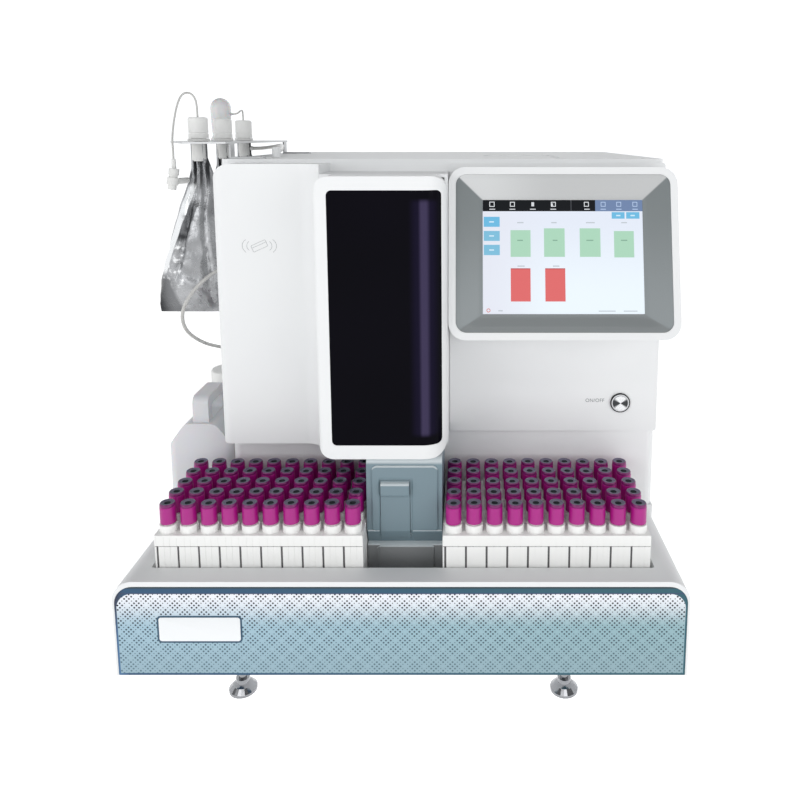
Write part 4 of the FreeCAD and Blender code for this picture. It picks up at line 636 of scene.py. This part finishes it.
mark_grey = moulded("mark_grey", rgb(120, 122, 126), rgb(134, 136, 140), 0.5)
outline = ((-7.6, -3.6), (-8.2, -2.8), (-8.2, 2.8), (-7.6, 3.6), (7.6, 3.6), (8.2, 2.8), (8.2, -2.8),
           (7.6, -3.6), (-7.6, -3.6))
stripe = ((-8.0, 1.0), (8.0, 1.0))
runs = [[tuple(CARD + CARD_TURN @ Vector(corner)) for corner in line] for line in (outline, stripe)]
for away, radius, first, last in ((-1.3, 7.6, 142, 218), (-1.7, 10.4, 140, 220),
                                  (1.3, 7.6, -38, 38), (1.7, 10.4, -40, 40)):
    runs.append(arc(CARD.x + away, CARD.y, radius, first, last, 1.55))
stroke("card_mark", runs, -0.13225, 0.00018, mark_grey)

# The front door swings on two lugs: a white moulded shell whose right edge curves back, round a
# glossy window of smoked acrylic, violet-black. The violet halo and the lighter band where it bends
# are a painted highlight.
keep("door_frame", case_white, 0.0012)
window_dark, place = surface("smoked_violet")
across, _, height = place.axes()
ends = height.ramp(0.243, 0.249) * (1.0 - height.ramp(0.473, 0.479))
# A violet halo and a lighter band where the window bends: a painted highlight.
painted_halo = across.ramp(0.018, 0.028) * (1.0 - across.ramp(0.040, 0.050)) * ends
band = across.ramp(0.028, 0.032) * (1.0 - across.ramp(0.0355, 0.0405)) * ends
tint = painted_halo.between(place.speckle(9.0).between(rgb(8, 8, 12), rgb(13, 11, 20)), rgb(23, 19, 39))
coat(place, {"Base Color": band.between(tint, rgb(62, 55, 82)), "Roughness": 0.08,
             "Specular IOR Level": 0.03})
keep("door_window", window_dark, 0.0003)

# The monitor: a white case tilted to the operator, a dished bezel in metallic grey paint, and a
# touch screen. The bezel's facets are painted in lit and shaded tones: painted highlight and shade.
keep("monitor_housing", case_white, 0.0022)
TILT = math.radians(13.64)
FACE_FOOT = (-0.18025, 0.336)


def face_fields(place):
    """The fields x and up over the tilted face, where up runs along its slope."""
    x, y, z = place.axes()
    return x, (y - FACE_FOOT[0]) * math.sin(TILT) + (z - FACE_FOOT[1]) * math.cos(TILT)


bezel_grey, place = surface("metallic_grey")
x, up = face_fields(place)
flakes = place.speckle(4000.0, 1.0)
# Shares of the way in from the bezel's outer edge, by which each facet is told from the next.
beside = ((x - 0.0633) / 0.0272) & ((0.2802 - x) / 0.0277)
below = (up - 0.0073) / 0.0184
above = (0.1666 - up) / 0.0256
top = ((beside & below) - above).ramp(-0.05, 0.05)
foot = ((beside & above) - below).ramp(-0.05, 0.05)
# Each facet is painted for the light on it: the top facet is a painted highlight, brightest at its
# left, the foot is painted shade, and the sides darken upwards as painted shade.
tone = up.ramp(0.02, 0.15).between(rgb(136, 147, 150), rgb(118, 130, 132))
tone = foot.between(tone, rgb(128, 137, 139))
tone = top.between(tone, x.ramp(0.0633, 0.17).between(rgb(214, 216, 216), rgb(188, 190, 190)))
coat(place, {"Base Color": flakes.between(tone, tone * 0.9), "Metallic": 0.35,
             "Roughness": flakes * 0.1 + 0.34, "Coat Weight": 0.2})
keep("screen_bezel", bezel_grey, 0.0005)

# The touch screen shows a plain menu page: a dark header with simple icons, a row of buttons down
# the left, and green and red blocks.
lo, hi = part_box("touch_screen")
glass, place = surface("menu_page")
x, up = face_fields(place)
s = (x - lo.x) / (hi.x - lo.x)
t = (0.141 - up) / 0.1153


def patch(s0, s1, t0, t1):
    """1 inside a rectangle of the page, in shares of its width and height."""
    return (abs(s - (s0 + s1) / 2) < (s1 - s0) / 2) & (abs(t - (t0 + t1) / 2) < (t1 - t0) / 2)


def frame_of(at, down, half, line):
    """1 on the outline of a small square."""
    far = abs(s - at) | (abs(t - down) * 0.712)
    return abs(far - half) < line


page = t.ramp(0.1, 0.9).between(rgb(222, 230, 246), rgb(230, 243, 252))
page = s.ramp(0.0, 0.5).between(rgb(224, 228, 242), page)
for boxes, colour in (
        ([(0.006, 0.106, 0.149, 0.238), (0.898, 0.981, 0.108, 0.166), (0.807, 0.888, 0.108, 0.166)],
         (72, 186, 234)),
        ([(0.006, 0.106, 0.274, 0.362), (0.006, 0.106, 0.396, 0.487)], (102, 190, 226)),
        ([(0.173, 0.298, 0.267, 0.502), (0.382, 0.511, 0.251, 0.502), (0.605, 0.734, 0.251, 0.502),
          (0.819, 0.943, 0.275, 0.507)], (158, 214, 180)),
        ([(0.173, 0.296, 0.602, 0.891), (0.387, 0.512, 0.602, 0.891)], (238, 92, 92)),
        ([(0.173, 0.296, 0.602, 0.610), (0.387, 0.512, 0.602, 0.610)], (196, 62, 66)),
        ([(0.215, 0.250, 0.352, 0.362), (0.436, 0.466, 0.352, 0.362), (0.646, 0.690, 0.352, 0.362),
          (0.862, 0.902, 0.352, 0.362)], (118, 172, 142)),
        ([(0.215, 0.255, 0.196, 0.206), (0.428, 0.462, 0.196, 0.206), (0.646, 0.700, 0.196, 0.206),
          (0.866, 0.902, 0.196, 0.206), (0.215, 0.260, 0.578, 0.588), (0.436, 0.476, 0.578, 0.588),
          (0.095, 0.122, 0.966, 0.976), (0.715, 0.820, 0.970, 0.978), (0.870, 0.955, 0.970, 0.978)],
         (186, 196, 206)),
        ([(0.040, 0.070, 0.188, 0.200), (0.040, 0.070, 0.312, 0.324), (0.040, 0.070, 0.436, 0.448),
          (0.835, 0.862, 0.132, 0.144), (0.925, 0.952, 0.132, 0.144)], (196, 230, 248)),
        ([(0.0, 0.705, 0.0, 0.1)], (14, 18, 24)), ([(0.705, 1.0, 0.0, 0.1)], (104, 132, 178)),
        ([(0.552, 0.555, 0.0, 0.1)], (96, 100, 108)),
        ([(0.042, 0.078, 0.078, 0.086), (0.168, 0.204, 0.078, 0.086), (0.296, 0.332, 0.078, 0.086),
          (0.424, 0.460, 0.078, 0.086), (0.636, 0.670, 0.078, 0.086), (0.305, 0.322, 0.02, 0.056),
          (0.428, 0.440, 0.03, 0.056)], (212, 216, 222)),
        ([(0.738, 0.772, 0.078, 0.086), (0.836, 0.870, 0.078, 0.086), (0.938, 0.972, 0.078, 0.086)],
         (168, 196, 236))):
    mask = patch(*boxes[0])
    for box in boxes[1:]:
        mask = mask | patch(*box)
    page = mask.between(page, rgb(*colour))
for first, others, half, line, colour in ((0.058, (), 0.014, 0.0022, (226, 230, 234)),
                                          (0.186, (0.443, 0.650), 0.013, 0.0022, (226, 230, 234)),
                                          (0.755, (0.853, 0.954), 0.013, 0.002, (176, 204, 240))):
    icons = frame_of(first, 0.038, half, line)
    for at in others:
        icons = icons | frame_of(at, 0.038, half, line)
    page = icons.between(page, rgb(*colour))
mark = ((s - 0.034) ** 2.0 + ((t - 0.968) * 0.712) ** 2.0) ** 0.5
page = (abs(mark - 0.010) < 0.0022).between(page, rgb(226, 110, 100))
coat(place, {"Base Color": page * 0.25, "Roughness": 0.14, "Specular IOR Level": 0.15,
             "Emission Color": page, "Emission Strength": 0.8})
keep("touch_screen", glass)

# The power button: a chromed ring with a dark edge, pushed through the panel, and a cap of turned
# metal in it, with its print at the left. The dark wedges on the cap are a painted reflection.
BUTTON = (0.2439, 0.2446)
turned_metal, place = surface("turned_metal")
x, _, z = place.axes()
right = x - BUTTON[0]
rise = z - BUTTON[1]
far = (right ** 2.0 + rise ** 2.0) ** 0.5
# Dark wedges at the cap's left and right: a painted reflection of the turned finish.
painted_reflection = ((right ** 2.0 - rise ** 2.0) / (far ** 2.0 + 0.0000001)).ramp(-0.15, 0.75)
tone = painted_reflection.between(rgb(236, 237, 238), rgb(58, 60, 62))
tone = far.ramp(0.0080, 0.0084).between(tone, rgb(214, 215, 217))
tone = far.ramp(0.0094, 0.0099).between(tone, rgb(22, 22, 24))
coat(place, {"Base Color": tone, "Metallic": 0.6, "Roughness": (far * 9000.0).sine() * 0.04 + 0.3})
keep("button_bezel", turned_metal, 0.0004)
keep("button_cap", turned_metal, 0.0006)
print_grey = moulded("print_grey", rgb(96, 98, 102), rgb(108, 110, 114), 0.5)
panel_low, panel_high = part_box("right_front_panel")
words = bpy.data.curves.new("button_print", "FONT")
words.body = "ON/OFF"
words.size = 0.0056
words.space_character = 1.05
words.extrude = 0.00002
words.materials.append(print_grey)
button_print = bpy.data.objects.new("button_print", words)
button_print.location = (0.2055, panel_low.y - 0.00003, 0.2452)
button_print.rotation_euler = (math.pi / 2, 0, 0)
bpy.context.scene.collection.objects.link(button_print)
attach(button_print, "machine")

# The back: a sheet panel painted grey, with a slotted grille. A black moulded fan sits behind the
# grille, and the mains inlet is pushed through the panel's lower corner.
panel_grey = moulded("panel_grey", rgb(186, 188, 190), rgb(194, 196, 198), 0.45)
black_plastic = moulded("black_plastic", rgb(26, 27, 29), rgb(34, 35, 37), 0.42)
keep("rear_panel", panel_grey, 0.0003, 2)
keep("fan_frame", black_plastic)
keep("fan_rotor", black_plastic)
keep("power_inlet", black_plastic)

# The reagent shelf: brushed stainless sheet, cut out for the pouches' necks, on two legs bent down
# to the top of the case.
stainless, place = surface("brushed_stainless")
long = place.node("VectorMath", {"operation": "MULTIPLY"}, {0: place, 1: (1.0, 0.06, 1.0)})
brush = long.speckle(2600.0, 3.0)
coat(place, {"Base Color": brush.between(rgb(158, 159, 160), rgb(196, 197, 198)), "Metallic": 1.0,
             "Roughness": brush * 0.18 + 0.24}, brush, 0.00001)
keep("pouch_shelf", stainless, 0.0004, 2)

# The reagent pouches: bags of crumpled metallised film that widen from a pleated neck to a full
# foot above a flat seam. Their colour holds painted light: a painted highlight strip down the left,
# painted shadow beside it, painted highlights on the creases low at the left, painted shade in the
# lower left corner, and painted shade in stripes on the neck. BAG has a row for each height: the
# height, the left and right edges and half the depth, in millimetres.
BAG = [(334, -294, -206.5, 1.2), (338, -294.5, -206.3, 1.6), (343, -295.5, -206, 8),
       (356, -294, -205.8, 18), (372, -291.5, -205.9, 25), (392, -285.5, -207.2, 25.5),
       (415, -278.5, -209.5, 24.5), (440, -271, -213.5, 20.5), (465, -262, -218, 15.5),
       (485, -254.5, -222.5, 11), (500, -250, -226.5, 9.5), (512, -249.5, -230.5, 8.6),
       (527.4, -249.4, -230.6, 8.8)]
SPOUTS = {"front": (-50.0, "front_cap"), "middle": (36.0, "middle_cap"), "back": (122.0, "back_cap")}
NECK_X = -240.0
BAG_ROWS = 63
BAG_SIDES = 112

foil, place = surface("crumpled_foil")
x, _, z = place.axes()
fold = place.speckle(150.0, 4.0)
big = place.speckle(34.0, 2.0)
lean = x + 0.2345 + (0.480 - z) * 0.3776
tone = big.ramp(0.35, 0.65).between(rgb(148, 149, 151), rgb(176, 177, 179))
# Bright creases low at the left: painted highlights.
painted_crease_highlights = fold.ramp(0.52, 0.66) * z.ramp(0.355, 0.37) * (1.0 - z.ramp(0.41, 0.42))
painted_crease_highlights = painted_crease_highlights * (1.0 - x.ramp(-0.248, -0.240))
tone = painted_crease_highlights.between(tone, rgb(238, 239, 240))
# A dark band beside the bright strip: painted shadow.
shadow = z.ramp(0.414, 0.424) * (1.0 - z.ramp(0.458, 0.468))
shadow = shadow * (1.0 - abs(lean - 0.0105).ramp(0.0045, 0.0060))
tone = shadow.between(tone, big.ramp(0.4, 0.6).between(rgb(48, 49, 51), rgb(104, 105, 107)))
# The lower left corner is darkened: painted shade.
painted_corner_shade = 1.0 - (z + fold * 0.012).ramp(0.380, 0.388)
painted_corner_shade = painted_corner_shade * (1.0 - (x + z * 0.25).ramp(-0.172, -0.164))
tone = painted_corner_shade.between(tone, x.ramp(-0.283, -0.262).between(rgb(44, 45, 47), rgb(118, 119, 121)))
# A bright strip down the left: a painted highlight.
strip = (1.0 - abs(lean).ramp(0.0044, 0.0054)) * z.ramp(0.378, 0.386) * (1.0 - z.ramp(0.478, 0.486))
tone = strip.between(tone, rgb(232, 233, 234))
# Dark stripes on the neck: painted shade in its pleats.
painted_pleat_shade = (x * 900.0 + big * 5.0).sine()
neck = z.ramp(0.470, 0.496)
tone = (neck * painted_pleat_shade.ramp(-0.5, 0.4)).between(tone, rgb(58, 59, 61))
coat(place, {"Base Color": tone, "Metallic": 0.8, "Roughness": fold * 0.16 + 0.2}, fold + big * 2.0,
     0.0009)


def at_height(rows, z):
    """The row of a table at a height, between the rows above and below it."""
    for below, above in zip(rows, rows[1:]):
        if z <= above[0]:
            share = (z - below[0]) / (above[0] - below[0])
            return [a + (b - a) * share for a, b in zip(below, above)]
    return rows[-1]


def bag(y0, seed):
    """A crumpled bag about y0: lens-shaped rings with folds that only go inwards."""
    rings = []
    foot = BAG[0][0]
    rise = BAG[-1][0] - foot
    for row in range(BAG_ROWS):
        z, left, right, deep = at_height(BAG, foot + rise * row / (BAG_ROWS - 1))
        share = (z - foot) / rise
        ring = []
        for i in range(BAG_SIDES):
            angle = 2 * math.pi * i / BAG_SIDES
            u = math.cos(angle)
            v = math.copysign(abs(math.sin(angle)) ** 1.2, math.sin(angle))
            x = (left + right) / 2 + (right - left) / 2 * u
            y = deep * v
            spot = Vector((x, y + seed * 37.0, z))
            crease = abs(noise.noise(spot * 0.026)) * 0.30 + abs(noise.noise(spot * 0.07)) * 0.14
            line = (u + 0.42 - 0.5 * (share - 0.3)) / 0.10
            crease += 0.20 * math.exp(-line * line) * min(1.0, share * 3)
            line = (u - 0.5 + 0.3 * share) / 0.09
            crease += 0.16 * math.exp(-line * line)
            pleat = max(0.0, share - 0.6) * 1.3 * (0.5 + 0.5 * math.sin(u * 16 + seed))
            y *= 1 - min(0.75, crease + pleat)
            x -= (right - left) * 0.02 * u * (0.5 + noise.noise(Vector((seed, u, z * 0.06))))
            ring.append(placed(x, y0 + y, z))
        rings.append(ring)
    return skin(rings)


def pipe(line, radii, sides=24):
    """A turned form along a straight or bent line of points in millimetres, from its radii."""
    rings = []
    for i, (point, radius) in enumerate(zip(line, radii)):
        ahead = Vector(line[min(i + 1, len(line) - 1)]) - Vector(line[max(i - 1, 0)])
        turn = ahead.to_track_quat("Z", "Y")
        ring = []
        for k in range(sides):
            angle = 2 * math.pi * k / sides
            around = Vector((radius * math.cos(angle), radius * math.sin(angle), 0))
            ring.append(placed(*(Vector(point) + turn @ around)))
        rings.append(ring)
    return skin(rings)


def mould(x, y, profile, sides=64, rib=0.0):
    """A turned form in millimetres about an upright line at (x, y)."""
    rows = [(radius / 1000, z / 1000, ribbed) for radius, z, ribbed in profile]
    return lathe(*placed(x, y, 0)[:2], rows, sides, rib / 1000)


cap_white = moulded("screw_cap_white", rgb(232, 232, 230), rgb(240, 240, 238), 0.36)
spout_white = moulded("spout_white", rgb(214, 214, 212), rgb(224, 224, 222), 0.4)
for row, (y, turning) in SPOUTS.items():
    film = smooth(piece_of("bag_" + row, *bag(y, 1.7 + y * 0.01), foil, "machine", "foil_pouch"), 50.0)
    profile = [(7.0, 508, 0), (8.0, 510, 0), (8.0, 530.2, 0), (12.0, 530.3, 0), (12.0, 532.8, 0),
               (11.6, 533.2, 0), (8.0, 533.3, 0), (8.0, 551.5, 0)]
    spout = [mould(NECK_X, y, profile, 40)]
    if row == "back":
        line = [(-240, 122, 519.5), (-228.5, 122, 519.5), (-228, 122, 519.5)]
        spout.append(pipe(line, [2.9, 2.9, 2.4]))
    spout_piece = smooth(piece_of("spout_" + row, *join(spout), spout_white, "machine", "foil_pouch"))
    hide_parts("pouch_" + row)
    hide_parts("pouch_" + row)
    profile = [(8.4, 533.6, 0), (10.9, 533.6, 0), (11.0, 534.0, 0), (11.0, 538.6, 0), (10.4, 539.0, 0),
               (10.4, 539.8, 0), (10.8, 540.2, 0), (10.8, 541.0, 1), (10.8, 554.6, 1), (10.6, 555.6, 0),
               (9.6, 556.7, 0), (8.4, 557, 0)]
    cap = mould(NECK_X, y, profile, 120, 0.28)
    made = smooth(piece_of("ribbed_cap_" + row, *cap, cap_white, turning, "cap_white"), 30.0)
    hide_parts("screw_cap_" + row)

# The bubble trap and the angled fitting: a translucent grey dome with a side nipple, and a white
# body with a threaded ring and an elbow for the loop tube.
trap_grey, place = surface("translucent_grey")
coat(place, {"Base Color": place.speckle(60.0).between(rgb(206, 207, 208), rgb(220, 221, 222)),
             "Roughness": 0.26, "Subsurface Weight": 0.35, "Subsurface Scale": 0.01,
             "Coat Weight": 0.3})
dome = [(14.0, 530.1, 0), (14.4, 530.8, 0), (14.4, 532.6, 0), (13.4, 534.4, 0), (12.2, 535.6, 0),
        (12.0, 537, 0), (12.6, 545, 0), (13.4, 560, 0), (13.7, 573.5, 0)]
for step in range(1, 12):
    angle = math.pi / 2 * step / 12
    dome.append((13.7 * math.cos(angle), 574.0 + 13.8 * math.sin(angle), 0))
solids = [mould(-276, 141, dome, 56),
          pipe([(-266, 141, 566), (-261.2, 141, 566), (-260, 141, 566)], [2.3, 1.9, 1.6])]
trap = smooth(piece_of("domed_trap", *join(solids), trap_grey, "machine", "trap_grey"), 40.0)
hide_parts("bubble_trap")
keep("drain_fitting", spout_white, 0.0005)

# The waste canister beside the case: blow-moulded milky polyethylene with a handle, and a moulded
# screw cap with ribs for the fingers that takes the waste tube.
milky = moulded("milky_polythene", rgb(212, 214, 217), rgb(220, 221, 224), 0.4,
                **{"Subsurface Weight": 0.25, "Subsurface Scale": 0.01})
keep("waste_canister", milky, 0.002)
profile = [(18.2, 213.6, 0), (22.2, 213.6, 0), (22.5, 214, 0), (22.5, 218.5, 0), (21.6, 219, 0),
           (21.6, 219.8, 0), (22.2, 220.2, 0), (22.2, 221, 1), (22.2, 240.4, 1), (21.8, 241.8, 0),
           (20.6, 243, 0), (6, 243, 0)]
cap = mould(-240.5, 20, profile, 144, 0.35)
made = smooth(piece_of("ribbed_cap_waste", *cap, cap_white, "waste_cap", "cap_white"), 30.0)
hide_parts("canister_cap")

# The free tubes: soft translucent tubing, pushed on at both ends. Two join caps and fittings over the
# shelf, one runs to a port on the roof beside the lid, and one goes down to the canister. ROUTES has
# the thickness and the points.
tubing, place = surface("clear_tubing")
coat(place, {"Base Color": place.speckle(90.0).between(rgb(196, 195, 192), rgb(214, 213, 210)),
             "Roughness": 0.24, "Transmission Weight": 0.25, "Coat Weight": 0.2})
ROUTES = {
    "loop_tube": (2.2, [(-240, -50, 557), (-240, -50, 566), (-240.4, -52, 577), (-244.4, -54.5, 583.4),
                        (-250.9, -57.5, 583.8), (-255.4, -61, 577.4), (-258.2, -65.2, 564.4),
                        (-259.6, -71, 548), (-259.2, -77.4, 532), (-257, -82, 520), (-257, -82, 511)]),
    "trap_tube": (2.2, [(-260, 141, 566), (-254, 141, 566), (-248.5, 137.5, 570), (-243, 130.5, 571),
                        (-240, 122, 565.5), (-240, 122, 557)]),
    "supply_tube": (4.6, [(-228, 122, 519.5), (-218, 122, 519.5), (-203, 113.5, 521),
                          (-187.5, 93, 523), (-175.5, 66, 524.5), (-167, 35, 524), (-160.8, 7, 522),
                          (-157, -11, 519.5), (-157, -24, 519.5)]),
    "waste_tube": (4.0, [(-200, -88, 391), (-211.5, -88, 391), (-226, -95, 380), (-239, -97.5, 366.5),
                         (-248.5, -97, 351.5), (-253.5, -92.5, 335.5), (-253.5, -81, 318.5),
                         (-249.5, -61, 303.5), (-245.5, -38, 291), (-242, -14, 281.5),
                         (-240.6, 8, 273), (-240.5, 20, 258.5), (-240.5, 20, 243)])}
for tube, (thick, route) in ROUTES.items():
    curve = bpy.data.curves.new(tube + "_line", "CURVE")
    curve.dimensions = "3D"
    line = curve.splines.new("NURBS")
    line.points.add(len(route) - 1)
    for point, where in zip(line.points, route):
        point.co = (*placed(*where), 1.0)
    line.order_u = 3
    line.use_endpoint_u = True
    line.resolution_u = 12
    curve.bevel_depth = thick / 2000
    curve.bevel_resolution = 5
    curve.use_fill_caps = True
    curve.materials.append(tubing)
    cord = bpy.data.objects.new(tube + "_line", curve)
    bpy.context.scene.collection.objects.link(cord)
    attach(cord, "machine")
    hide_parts(tube)
    Vector(placed(*route[0]))

# The works inside: sampling probe on its rail, column oven and valve behind the door, and pump,
# detector, power supply and board under the lid.
alloy, place = surface("blasted_alloy")
coat(place, {"Base Color": place.speckle(700.0).between(rgb(168, 170, 172), rgb(186, 188, 190)),
             "Metallic": 1.0, "Roughness": 0.42}, place.speckle(2400.0), 0.00002)
board_green = moulded("board_green", rgb(18, 78, 48), rgb(24, 88, 54), 0.3)
keep("probe_rail", stainless)
for node in ("probe_carriage", "probe_head", "column_oven", "injection_valve", "delivery_pump"):
    keep(node, alloy)
keep("detector", black_plastic, 0.001)
keep("power_supply", panel_grey)
keep("control_board", board_green)
